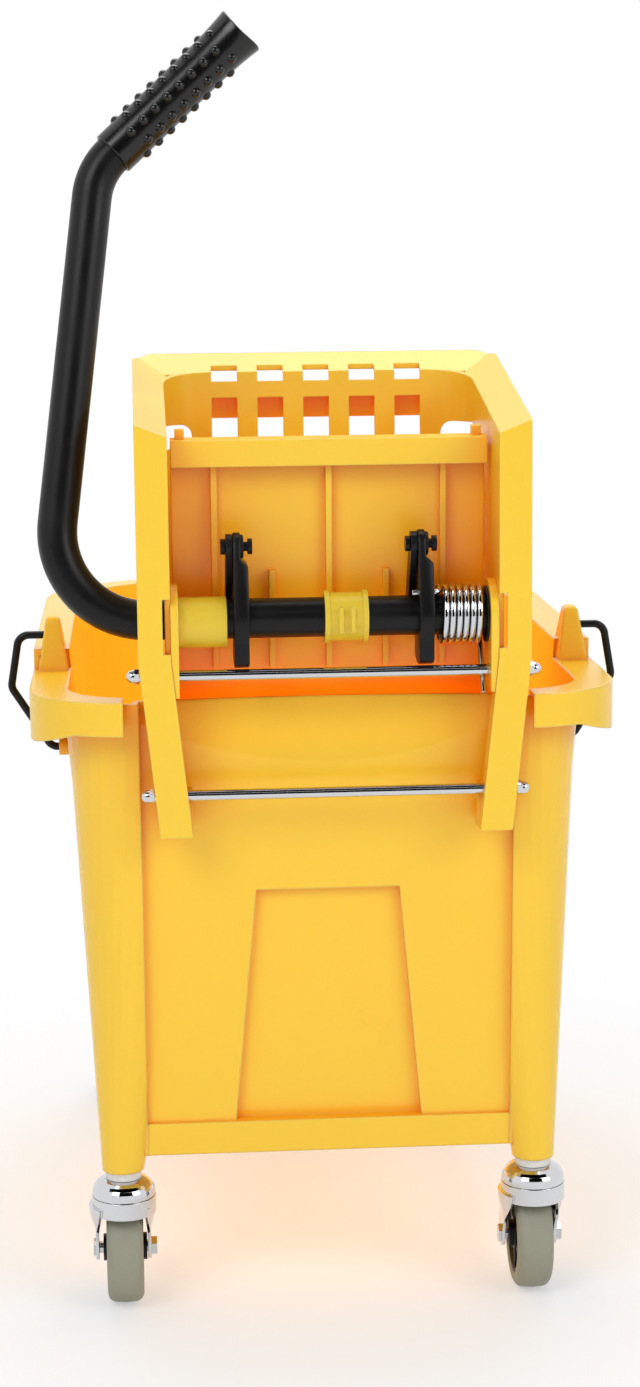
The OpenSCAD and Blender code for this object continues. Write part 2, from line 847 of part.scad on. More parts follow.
// Wall of a stile and of the leg that leans in below it, from one distance to another off the inner face
module stile_bar(a, b, z0, depth) {
    xz_plate(front_y, depth) polygon([
        [in_x + a + lean_at(z0), z0], [in_x + b + lean_at(z0), z0], [in_x + b, lean_z],
        [in_x + b, head_at(b)], [in_x + a, head_at(a)], [in_x + a, lean_z]
    ]);
}

// Cross web that closes a leg at height z
module leg_web(z) {
    z1 = z + frame_t;
    xz_plate(front_y, leg_depth) polygon([
        [in_x + lean_at(z), z], [in_x + stile_w + lean_at(z), z],
        [in_x + stile_w + lean_at(z1), z1], [in_x + lean_at(z1), z1]
    ]);
}

// Stile and leg: a channel open to the back, deeper above the rim than below it
module stile() {
    stile_bar(0, stile_w, leg_z, frame_t);
    for (a = [0, stile_w - frame_t]) {
        stile_bar(a, a + frame_t, leg_z, leg_depth);
        stile_bar(a, a + frame_t, leg_top_z, stile_depth);
    }
    leg_web(leg_z);
    leg_web(leg_z + leg_h / 2);
    translate([in_x + lean_at(leg_z + foot_h / 2) - frame_t / 2, front_y + leg_depth - frame_t, leg_z])
        cube([foot_w, foot_l, foot_h]);
}

// Rectangular drain holes through the back wall
module back_grate() {
    for (i = [-2 : 2]) translate([i * grate_pitch - grate_w / 2, in_back - in_r, 0]) {
        for (j = [0 : grate_rows - 1])
            translate([0, 0, grate_z - grate_h - j * grate_row]) cube([grate_w, in_r + 2 * frame_t, grate_h]);
        translate([0, 0, grate_z + grate_bar]) cube([grate_w, in_r + 2 * frame_t, grate_top_h]);
    }
}

// Hand slots round the back corners and small drains in the side walls
module side_openings() {
    for (s = [0, 1]) mirror([s, 0, 0]) {
        xz_plate(in_back - hand_slot_y, hand_slot_y + 2 * frame_t) {
            translate([hand_slot_x + hand_slot_h / 2, hand_slot_z]) square([in_x, hand_slot_h]);
            translate([hand_slot_x + hand_slot_h / 2, hand_slot_z + hand_slot_h / 2]) circle(d = hand_slot_h);
        }
        for (i = [0, 1], j = [0 : drain_rows - 1])
            translate([in_x - overrun, drain_y + i * drain_step, hand_slot_z - (j + 1) * drain_row])
                cube([frame_t + 2 * overrun, drain_w, drain_h]);
    }
}

// Outer shelf across the back wall
module back_shelf() {
    z = grate_z + grate_bar - shelf_drop;
    translate([-shelf_w / 2, in_back + frame_t, z - frame_t]) cube([shelf_w, shelf_l, frame_t]);
    translate([-shelf_w / 2, in_back + shelf_l, z - shelf_h]) cube([shelf_w, frame_t, shelf_h]);
}

// Slotted floor of the basket behind the press plate
module basket_floor() {
    y0 = hinge_y + barrel_r + 2 * frame_t;
    difference() {
        translate([0, 0, basket_z]) linear_extrude(frame_t) intersection() {
            basket_plan(frame_t / 2);
            translate([-in_x - frame_t / 2, y0]) square([2 * in_x + frame_t, frame_depth]);
        }
        for (i = [-2 : 2])
            translate([i * grate_pitch - grate_w / 2, (y0 + in_back - floor_slot_l) / 2, basket_z - overrun])
                cube([grate_w, floor_slot_l, frame_t + 2 * overrun]);
    }
}

module wringer_frame() {
    color("gold") in_wringer() difference() {
        union() {
            basket_wall();
            top_flange();
            back_shelf();
            basket_floor();
            for (s = [0, 1]) mirror([s, 0, 0]) stile();
        }
        back_grate();
        side_openings();
        for (s = [0, 1]) mirror([s, 0, 0])
            translate([in_x - overrun, front_y - overrun, notch_z])
                cube([notch_depth + overrun, notch_depth + overrun, notch_h]);
        x_bar(-frame_w, frame_w / 2 - 2 * frame_t, shaft_hole_r, shaft_cy, shaft_z);
        x_bar(-frame_w, frame_w, rod_r + fit_gap, rod_y, rod_z);
        x_bar(-frame_w, frame_w, rod_r + fit_gap, low_rod_y, low_rod_z);
        x_bar(-frame_w, frame_w, rod_r + fit_gap, hinge_y, hinge_z);
    }
}

// Parts fixed to the frame

// Right bracket: a round head that carries the shaft, with a foot that follows the leg and holds the upper rod
module bearing_bracket() {
    foot_z = shaft_z - bracket_foot;
    difference() {
        intersection() {
            yz_plate(bracket_x, bracket_t) {
                translate([shaft_cy, shaft_z]) circle(bracket_r);
                translate([shaft_cy - bracket_r, foot_z]) square([2 * bracket_r, bracket_foot]);
            }
            xz_plate(front_y, frame_depth) polygon([
                [bracket_x, foot_z], [in_x + lean_at(foot_z) - fit_gap, foot_z], [in_x - fit_gap, lean_z],
                [in_x - fit_gap, shaft_z + frame_depth], [bracket_x, shaft_z + frame_depth]
            ]);
        }
        x_bar(bracket_x - overrun, in_x + overrun, tube_r + fit_gap, shaft_cy, shaft_z);
        x_bar(bracket_x - overrun, in_x + overrun, rod_r + fit_gap, rod_y, rod_z);
    }
}

module bearing_bracket_left() {
    color("goldenrod") in_wringer() mirror([1, 0, 0]) bearing_bracket();
}

module bearing_bracket_right() {
    color("goldenrod") in_wringer() bearing_bracket();
}

// Sleeve round the shaft, thicker below than above
module shaft_bush() {
    color("khaki") in_wringer() difference() {
        x_bar(-bracket_x, -bush_end, bush_d / 2, shaft_cy, shaft_z - bush_drop);
        x_bar(-bracket_x - overrun, -bush_end + overrun, tube_r + fit_gap, shaft_cy, shaft_z);
    }
}

// Half length of a tie rod between the outer faces of the legs at its height
function rod_half(z) = frame_w / 2 + lean_at(z);

module tie_rod(y, z) {
    in_wringer() x_bar(-rod_half(z) - nut_t, rod_half(z) + nut_t, rod_r, y, z);
}

module upper_tie_rod() {
    color("silver") tie_rod(rod_y, rod_z);
}

module lower_tie_rod() {
    color("silver") tie_rod(low_rod_y, low_rod_z);
}

// Domed nuts at the four rod ends
module dome_nuts() {
    color("silver") in_wringer()
        for (side = [0, 1], rod = [[rod_y, rod_z], [low_rod_y, low_rod_z]])
            mirror([side, 0, 0]) translate([rod_half(rod[1]) + nut_gap, rod[0], rod[1]]) difference() {
                rotate([0, 90, 0]) union() {
                    cylinder(r = nut_r, h = nut_t, $fn = 6);
                    intersection() {
                        translate([0, 0, nut_t]) sphere(nut_r - fit_gap);
                        cylinder(r = nut_r, h = 2 * nut_t);
                    }
                }
                x_bar(-overrun, nut_t - nut_gap + fit_gap, rod_r + fit_gap);
            }
}

module plate_hinge_rod() {
    color("silver") in_wringer() x_bar(-in_x - frame_t, in_x + frame_t, rod_r, hinge_y, hinge_z);
}

// Torsion spring: hooked through the right lever, wound round the shaft, leg behind the upper rod

// Point on the coil cylinder, angle counted from straight up towards the back
function coil_point(x, a) = [x, shaft_cy + coil_r * sin(a), shaft_z + coil_r * cos(a)];
function radial(a) = [0, sin(a), cos(a)];

// Angle at which the leg leaves the coil so that it passes behind the upper rod
rod_gap_y = rod_y - shaft_cy;
rod_gap_z = rod_z - shaft_z;
rod_away = norm([rod_gap_y, rod_gap_z]);
leg_angle = atan2(rod_gap_y, rod_gap_z) - acos((coil_r - leg_pass) / rod_away);
end_angle = leg_angle + 360 * (leg_angle < hook_angle ? coil_turns + 1 : coil_turns);
leg_run = sqrt(rod_away * rod_away - (coil_r - leg_pass) * (coil_r - leg_pass)) + leg_past;
leg_way = [0, cos(end_angle), -sin(end_angle)];
bend_angle = atan2(spring_d, coil_r);
curl_rings = 8;
curl_step = 360 / curl_rings;
spring_sides = 6;
hook_seat_shares = [0, 0.5, 1];
spring_turn = end_angle - hook_angle - bend_angle;
coil_steps = floor(spring_turn / curl_step);
coil_angles = concat([for (i = [0 : coil_steps]) i * curl_step], [spring_turn]);

// Rings along the wire: place, outward direction and run of the wire
hook_rings = [for (s = hook_seat_shares)
    [coil_point(hook_x + s * (lever_face - hook_x), hook_angle), radial(hook_angle), [1, 0, 0]]];
elbow_rings = [for (b = [30, 60])
    [coil_point(lever_face + spring_d * sin(b), hook_angle + bend_angle * (1 - cos(b))),
     radial(hook_angle + bend_angle * (1 - cos(b))),
     cos(b) * [1, 0, 0] + sin(b) * [0, cos(hook_angle), -sin(hook_angle)]]];
coil_rings = [for (turn = coil_angles)
    let (a = hook_angle + bend_angle + turn)
    [coil_point(coil_start_x + (coil_end_x - coil_start_x) * turn / spring_turn, a), radial(a), [0, cos(a), -sin(a)]]];
leg_rings = [for (s = [0.5, 1])
    [coil_point(coil_end_x, end_angle) + s * leg_run * leg_way, radial(end_angle), leg_way]];
spring_rings = concat(hook_rings, elbow_rings, coil_rings, leg_rings);

// Corner points of one ring
function ring_points(ring) = let (side = cross(ring[2], ring[1]))
    [for (k = [0 : spring_sides - 1]) let (a = 360 * k / spring_sides)
        ring[0] + spring_d / 2 * (cos(a) * ring[1] + sin(a) * side)];

// Least gap between neighbouring curls, measured on the ring centres
curl_gap = min([for (i = [0 : coil_steps], j = [0 : coil_steps]) if (j - i > curl_rings / 2)
    norm(coil_rings[i][0] - coil_rings[j][0]) - spring_d]);

module torsion_spring() {
    rings = len(spring_rings);
    points = [for (ring = spring_rings) each ring_points(ring)];
    n = spring_sides;
    sides = [for (i = [0 : rings - 2], k = [0 : n - 1], half = [0, 1])
        let (a = i * n + k, b = i * n + (k + 1) % n)
        half == 0 ? [a, b, b + n] : [a, b + n, a + n]];
    caps = [for (k = [1 : n - 2], end = [0, 1])
        let (last = (rings - 1) * n)
        end == 0 ? [0, k + 1, k] : [last, last + k, last + k + 1]];
    echo(least_gap_between_spring_curls = curl_gap);
    color("silver") in_wringer() polyhedron(points, concat(sides, caps));
}

// Handle

// Frame of the handle's plane, with local Y running up the tilted arm
module in_handle() {
    in_wringer() translate([0, shaft_cy, shaft_z]) rotate([90 - arm_tilt, 0, 0]) children();
}

// Frame at the foot of the straight arm
module at_arm() {
    in_handle() translate([-bend_x, 0, 0]) rotate([0, 0, 90]) after_bend(bend_r, 90 + arm_lean) children();
}

// Frame at the foot of the grip
module at_grip() {
    at_arm() translate([0, arm_l, 0]) after_bend(top_r, top_bend) children();
}

// Whole run of the handle from the shaft end to the grip, lengthened at both ends
module handle_run(r, past) {
    in_handle() translate([shaft_end, 0, 0]) rotate([0, 0, 90]) rod_run(shaft_end + bend_x, r, past, lap);
    in_handle() translate([-bend_x, 0, 0]) rotate([0, 0, 90]) rod_bend(bend_r, 90 + arm_lean, r);
    at_arm() rod_run(arm_l, r, lap, lap);
    at_arm() translate([0, arm_l, 0]) rod_bend(top_r, top_bend, r);
    at_grip() rod_run(grip_l - grip_d / 2, r, lap, past);
}

module handle_tube() {
    color("dimgray") difference() {
        handle_run(tube_r, 0);
        handle_run(tube_r - tube_t, overrun);
    }
}

// Rubber sleeve, open at its outer end
module hand_grip() {
    color("dimgray") at_grip() rotate([-90, 0, 0]) difference() {
        cylinder(d = grip_d, h = grip_l);
        translate([0, 0, -overrun]) cylinder(r = tube_r + fit_gap, h = grip_l - grip_d / 2 + overrun);
        translate([0, 0, grip_l - grip_d / 4]) cylinder(r = tube_r - tube_t, h = grip_d);
    }
}

// Crank lever: hub round the shaft, eye for the link above, rounded tail below
module crank_lever(x) {
    shaft = [shaft_cy, shaft_z];
    in_wringer() difference() {
        yz_plate(x - lever_t / 2, lever_t) {
            taper_bar(shaft, lever_hub_r, shaft + [0, crank_r], lever_eye_r);
            intersection() {
                translate(shaft) circle(lever_tail_r);
                translate([shaft_cy - lever_tail_w / 2, shaft_z - lever_tail_r])
                    square([lever_tail_w, lever_tail_r]);
            }
        }
        x_bar(x - lever_t, x + lever_t, tube_r + fit_gap, shaft_cy, shaft_z);
        x_bar(x - lever_t, x + lever_t, pin_d / 2 + fit_gap, shaft_cy, shaft_z + crank_r);
        translate([0, coil_r * sin(hook_angle), coil_r * cos(hook_angle)])
            x_bar(x - lever_t, x + lever_t, spring_d / 2 + hook_gap, shaft_cy, shaft_z);
    }
}

module crank_lever_left() {
    color("dimgray") crank_lever(-lever_x);
}

module crank_lever_right() {
    color("dimgray") crank_lever(lever_x);
}

// Left face of the link that lies beside a lever, and of the plate lug beside the link
function link_x(x) = x - lever_t / 2 - rest_gap - link_t;
function lug_x(x) = link_x(x) - rest_gap - lug_t;

// Crank pins: headed on the lever side and riveted over on the link side
module crank_pins() {
    color("dimgray") in_wringer() for (x = [-lever_x, lever_x]) {
        x_bar(link_x(x) - rest_gap, x + lever_t / 2, pin_d / 2, shaft_cy, shaft_z + crank_r);
        x_bar(link_x(x) - rest_gap - pin_head_t, link_x(x) - rest_gap, pin_head_r, shaft_cy, shaft_z + crank_r);
        x_bar(x + lever_t / 2, x + lever_t / 2 + pin_head_t, pin_head_r, shaft_cy, shaft_z + crank_r);
    }
}

// Sleeve clip on the middle of the shaft, with rims and a front key
module shaft_clip() {
    x0 = clip_x - clip_w / 2;
    color("khaki") in_wringer() difference() {
        union() {
            x_bar(x0, x0 + clip_w, clip_r, shaft_cy, shaft_z);
            for (x = [x0, x0 + clip_w - clip_rim_t]) x_bar(x, x + clip_rim_t, clip_rim_r, shaft_cy, shaft_z);
            for (x = [clip_x - clip_key_w, clip_x + clip_key_w / 2])
                translate([x, shaft_cy - clip_r - clip_key_out, shaft_z - clip_key_h / 2])
                    cube([clip_key_w / 2, clip_r, clip_key_h]);
        }
        x_bar(x0 - overrun, x0 + clip_w + overrun, tube_r + fit_gap, shaft_cy, shaft_z);
    }
}

module shaft_collar() {
    x0 = bracket_x - fit_gap - collar_t;
    color("dimgray") in_wringer() difference() {
        x_bar(x0, x0 + collar_t, collar_od / 2, shaft_cy, shaft_z);
        x_bar(x0 - overrun, x0 + collar_t + overrun, tube_r + fit_gap, shaft_cy, shaft_z);
    }
}

// Links

// Flat link from the crank pin to the plate pin, with a loose hole at the plate end
module link(x) {
    crank = [shaft_cy, shaft_z + crank_r];
    plate = [link_y, link_z];
    in_wringer() difference() {
        yz_plate(link_x(x), link_t) taper_bar(crank, link_r, plate, link_tip_r);
        x_bar(link_x(x) - overrun, link_x(x) + link_t + overrun, pin_d / 2 + fit_gap, crank[0], crank[1]);
        x_bar(link_x(x) - overrun, link_x(x) + link_t + overrun, pin_d / 2 + open_gap, plate[0], plate[1]);
    }
}

module link_left() {
    color("dimgray") link(-lever_x);
}

module link_right() {
    color("dimgray") link(lever_x);
}

// Press plate

// Frame at the plate's hinge, with local Z running up the leaning plate
module on_plate() {
    in_wringer() translate([0, hinge_y, hinge_z]) rotate([plate_lean, 0, 0]) children();
}

// Rib on the handle side of the plate
module plate_rib(x, z0, z1) {
    translate([x - rib_t / 2, plate_set - rib_depth, z0]) cube([rib_t, rib_depth + overrun, z1 - z0]);
}

module press_plate() {
    lip_y = plate_set - lip_depth;
    color("gold") difference() {
        union() {
            on_plate() {
                x_bar(-plate_w / 2, plate_w / 2, barrel_r);
                translate([-plate_w / 2, plate_set, 0]) cube([plate_w, plate_t, plate_h]);
                translate([-plate_w / 2, lip_y, plate_h - plate_t])
                    cube([plate_w, lip_depth + overrun, plate_t]);
                translate([-plate_w / 2, lip_y, plate_h - lip_h]) cube([plate_w, plate_t, lip_h]);
                for (s = [-1, 0, 1]) plate_rib(s * rib_step, rib_foot, plate_h - overrun);
                for (s = [-1, 1]) plate_rib(s * rib_step / 2, rib_foot, rib_foot + short_rib_h);
                for (s = [-1, 1]) translate([s * (plate_w / 2 - corner_lug) - corner_lug / 2, 0, plate_h - overrun])
                    cube([corner_lug, corner_lug, corner_lug + overrun]);
            }
            in_wringer() for (x = [-lever_x, lever_x]) yz_plate(lug_x(x), lug_t) {
                translate([link_y, link_z]) circle(lug_r);
                translate([link_y, link_z - lug_r]) square([lug_l, 2 * lug_r]);
            }
        }
        on_plate() x_bar(-plate_w, plate_w, rod_r + fit_gap);
        in_wringer() x_bar(-plate_w, plate_w, pin_d / 2 + fit_gap, link_y, link_z);
    }
}

// Plate pins: pressed flush into the lugs, with a wide washer that keeps the link on
module plate_pins() {
    color("dimgray") in_wringer() for (x = [-lever_x, lever_x]) {
        x_bar(lug_x(x), link_x(x) + link_t + rest_gap, pin_d / 2, link_y, link_z);
        x_bar(link_x(x) + link_t + rest_gap, link_x(x) + link_t + rest_gap + washer_t, washer_r, link_y, link_z);
    }
}

tub();
side_handle_left();
side_handle_right();
caster_sleeve(-1, -1);  // caster_sleeve_near_left
caster_sleeve(-1, 1);  // caster_sleeve_near_right
caster_sleeve(1, -1);  // caster_sleeve_far_left
caster_sleeve(1, 1);  // caster_sleeve_far_right
caster_stem(-1, -1);  // caster_stem_near_left
caster_stem(-1, 1);  // caster_stem_near_right
caster_stem(1, -1);  // caster_stem_far_left
caster_stem(1, 1);  // caster_stem_far_right
caster_cup(-1, -1);  // caster_cup_near_left
caster_cup(-1, 1);  // caster_cup_near_right
caster_cup(1, -1);  // caster_cup_far_left
caster_cup(1, 1);  // caster_cup_far_right
caster_fork(-1, -1);  // caster_fork_near_left
caster_fork(-1, 1);  // caster_fork_near_right
caster_fork(1, -1);  // caster_fork_far_left
caster_fork(1, 1);  // caster_fork_far_right
caster_axle(-1, -1);  // caster_axle_near_left
caster_axle(-1, 1);  // caster_axle_near_right
caster_axle(1, -1);  // caster_axle_far_left
caster_axle(1, 1);  // caster_axle_far_right
wheel_hub(-1, -1);  // wheel_hub_near_left
wheel_hub(-1, 1);  // wheel_hub_near_right
wheel_hub(1, -1);  // wheel_hub_far_left
wheel_hub(1, 1);  // wheel_hub_far_right
wheel_tyre(-1, -1);  // wheel_tyre_near_left
wheel_tyre(-1, 1);  // wheel_tyre_near_right
wheel_tyre(1, -1);  // wheel_tyre_far_left
wheel_tyre(1, 1);  // wheel_tyre_far_right
wringer_frame();
bearing_bracket_left();
bearing_bracket_right();
shaft_bush();
upper_tie_rod();
lower_tie_rod();
dome_nuts();
plate_hinge_rod();
torsion_spring();
handle_tube();
hand_grip();
crank_lever_left();
crank_lever_right();
crank_pins();
shaft_clip();
shaft_collar();
link_left();
link_right();
press_plate();
plate_pins();
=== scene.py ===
"""Looks of a wheeled mop bucket with a side press wringer.

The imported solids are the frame. This script gives each of them a finish and soft moulded edges, and adds
the pieces that need a finer shape than the solids have: pressed forks, round tyres, hub ribs, rod nuts,
thinned crank levers, the wound spring and the flared grip with its nubs.
"""

import logging
import math
from dataclasses import dataclass
from enum import Enum
from typing import ClassVar, Sequence

import bpy
from mathutils import Matrix, Vector


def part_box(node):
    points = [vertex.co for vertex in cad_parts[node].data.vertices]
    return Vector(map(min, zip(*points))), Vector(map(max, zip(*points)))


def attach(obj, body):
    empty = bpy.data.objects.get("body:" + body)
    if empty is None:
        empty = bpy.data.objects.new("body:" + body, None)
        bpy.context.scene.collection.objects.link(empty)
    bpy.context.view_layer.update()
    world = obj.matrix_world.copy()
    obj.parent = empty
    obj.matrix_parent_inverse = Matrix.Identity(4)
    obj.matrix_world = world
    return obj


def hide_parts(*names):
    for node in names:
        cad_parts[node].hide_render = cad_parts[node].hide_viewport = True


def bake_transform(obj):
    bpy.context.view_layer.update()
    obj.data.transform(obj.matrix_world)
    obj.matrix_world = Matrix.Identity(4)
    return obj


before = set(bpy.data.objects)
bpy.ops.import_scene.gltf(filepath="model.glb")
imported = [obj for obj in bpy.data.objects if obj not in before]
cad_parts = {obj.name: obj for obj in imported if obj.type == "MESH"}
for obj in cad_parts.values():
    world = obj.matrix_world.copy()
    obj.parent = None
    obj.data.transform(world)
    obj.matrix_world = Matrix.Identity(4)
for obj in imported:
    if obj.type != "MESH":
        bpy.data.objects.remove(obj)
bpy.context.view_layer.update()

LOG = logging.getLogger("mop_bucket")
MM = 0.001
SIDES = ("left", "right")
PURE_WHITE = "#FFFFFF"

# How fine the new meshes are
ARC_STEPS = 6
EDGE_STEPS = 2
CREASE = math.radians(40)
MERGE_M = 1e-6
MICRON_DIGITS = 3

# Sockets of a colour mix, and the four limits of a map range
MIX_FIRST, MIX_SECOND, MIX_RESULT = 6, 7, 2
LIMITS = ("From Min", "From Max", "To Min", "To Max")
FULL_SPAN = (0.0, 1.0)

# Where the wringer's own measures start: its middle, and the near lip of the tub
WRINGER_X = 4 * MM
NEAR_LIP_Y = -270.5 * MM


def linear(hex_colour: str) -> tuple[float, float, float, float]:
    """Turn an sRGB hex colour into linear RGBA by the sRGB transfer curve.

    Args:
        hex_colour: Six hex digits with a leading hash.

    Returns:
        Linear red, green, blue and an alpha of one.
    """
    parts = [int(hex_colour[i : i + 2], 16) / 255 for i in (1, 3, 5)]
    values = [c / 12.92 if c <= 0.04045 else ((c + 0.055) / 1.055) ** 2.4 for c in parts]
    return values[0], values[1], values[2], 1.0


def add_node(
    tree: bpy.types.NodeTree, kind: str, inputs: dict[str | int, object] | None = None, **settings: object
) -> bpy.types.Node:
    """Add a node with its settings, values and links.

    Args:
        tree: The node tree that takes the node.
        kind: Blender's node type name.
        inputs: Input name or index to a value, or to the output socket that feeds it.
        settings: Attributes set on the node.

    Returns:
        The new node.
    """
    node = tree.nodes.new(kind)
    for name, value in settings.items():
        setattr(node, name, value)
    for name, value in (inputs or {}).items():
        if isinstance(value, bpy.types.NodeSocket):
            tree.links.new(value, node.inputs[name])
        else:
            node.inputs[name].default_value = value
    return node


def bare_material(name: str) -> bpy.types.Material:
    """Make a material with an empty node tree.

    Args:
        name: The material's name.

    Returns:
        The new material.
    """
    made = bpy.data.materials.new(name)
    made.use_nodes = True
    made.node_tree.nodes.clear()
    return made


def deselect_all() -> None:
    """Leave edit mode and deselect every object."""
    if bpy.context.object and bpy.context.object.mode != "OBJECT":
        bpy.ops.object.mode_set(mode="OBJECT")
    bpy.ops.object.select_all(action="DESELECT")


def select_only(obj: bpy.types.Object) -> None:
    """Make one object the active and only selected one.

    Args:
        obj: The object to select.
    """
    deselect_all()
    obj.select_set(True)
    bpy.context.view_layer.objects.active = obj


def add_object(name: str, data: bpy.types.ID) -> bpy.types.Object:
    """Put a new object into the scene.

    Args:
        name: The object's name.
        data: The mesh, curve, lamp or camera that it shows.

    Returns:
        The new object.
    """
    obj = bpy.data.objects.new(name, data)
    bpy.context.collection.objects.link(obj)
    return obj


def bake_place(obj: bpy.types.Object) -> None:
    """Put an object's place into its mesh, so that it sits at the origin."""
    obj.data.transform(obj.matrix_basis)
    obj.matrix_basis = Matrix.Identity(4)


def stamp(pattern: bpy.types.Object, name: str, place: Matrix) -> bpy.types.Object:
    """Copy a pattern with a mesh of its own to a place.

    Args:
        pattern: The piece to copy.
        name: The copy's name.
        place: Where the pattern's origin goes, in metres, and how it turns.

    Returns:
        The copy.
    """
    copy = add_object(name, pattern.data.copy())
    copy.matrix_basis = place
    bake_place(copy)
    return copy


def join(objs: Sequence[bpy.types.Object], name: str) -> bpy.types.Object:
    """Join objects into one mesh.

    Args:
        objs: The objects, of which the first takes in the rest.
        name: The joined object's name.

    Returns:
        The joined object.
    """
    select_only(objs[0])
    for obj in objs:
        obj.select_set(True)
    bpy.ops.object.join()
    objs[0].name = name
    objs[0].data.name = name
    return objs[0]


def lathe(
    name: str, outline: Sequence[tuple[float, float]], steps: int, ring: bool = True
) -> bpy.types.Object:
    """Turn an outline round the Z axis.

    Args:
        name: The new object's name.
        outline: Radius and height of each corner, in millimetres, in order round the section.
        steps: Number of faces round the axis.
        ring: Whether the outline closes on itself, and doesn't start and end on the axis.

    Returns:
        The turned solid, with its axis on Z.
    """
    deselect_all()
    mesh = bpy.data.meshes.new(name)
    count = len(outline)
    links = [(i, (i + 1) % count) for i in range(count if ring else count - 1)]
    mesh.from_pydata([(r * MM, 0, z * MM) for r, z in outline], links, [])
    solid = add_object(name, mesh)
    select_only(solid)
    bpy.ops.object.mode_set(mode="EDIT")
    bpy.ops.mesh.select_all(action="SELECT")
    bpy.ops.mesh.spin(steps=steps, angle=2 * math.pi, center=(0, 0, 0), axis=(0, 0, 1))
    bpy.ops.mesh.select_all(action="SELECT")
    bpy.ops.mesh.remove_doubles(threshold=MERGE_M)
    bpy.ops.mesh.normals_make_consistent(inside=False)
    bpy.ops.object.mode_set(mode="OBJECT")
    bpy.ops.object.shade_smooth_by_angle(angle=CREASE)
    return solid


def rounded(r: float, z: float, radius: float, start: float, end: float) -> list[tuple[float, float]]:
    """Round a corner of an outline.

    Args:
        r: Radius of the arc's middle from the axis.
        z: Height of the arc's middle.
        radius: The arc's own radius.
        start: Angle of its first point, in degrees from straight out.
        end: Angle of its last point.

    Returns:
        Points along the arc.
    """
    turns = [math.radians(start + (end - start) * i / ARC_STEPS) for i in range(ARC_STEPS + 1)]
    return [(r + radius * math.cos(t), z + radius * math.sin(t)) for t in turns]


def eased(share: float) -> float:
    """Turn an even share into one that starts and ends softly."""
    return share * share * (3 - 2 * share)


def in_wringer(x: float, y: float, z: float) -> Vector:
    """Turn a place in the wringer's own millimetres into the frame's metres."""
    return Vector((WRINGER_X + x * MM, NEAR_LIP_Y + y * MM, z * MM))


def middle_of(node: str) -> Vector:
    """Find the middle of a CAD node's box, in metres."""
    low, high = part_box(node)
    return (Vector(low) + Vector(high)) / 2


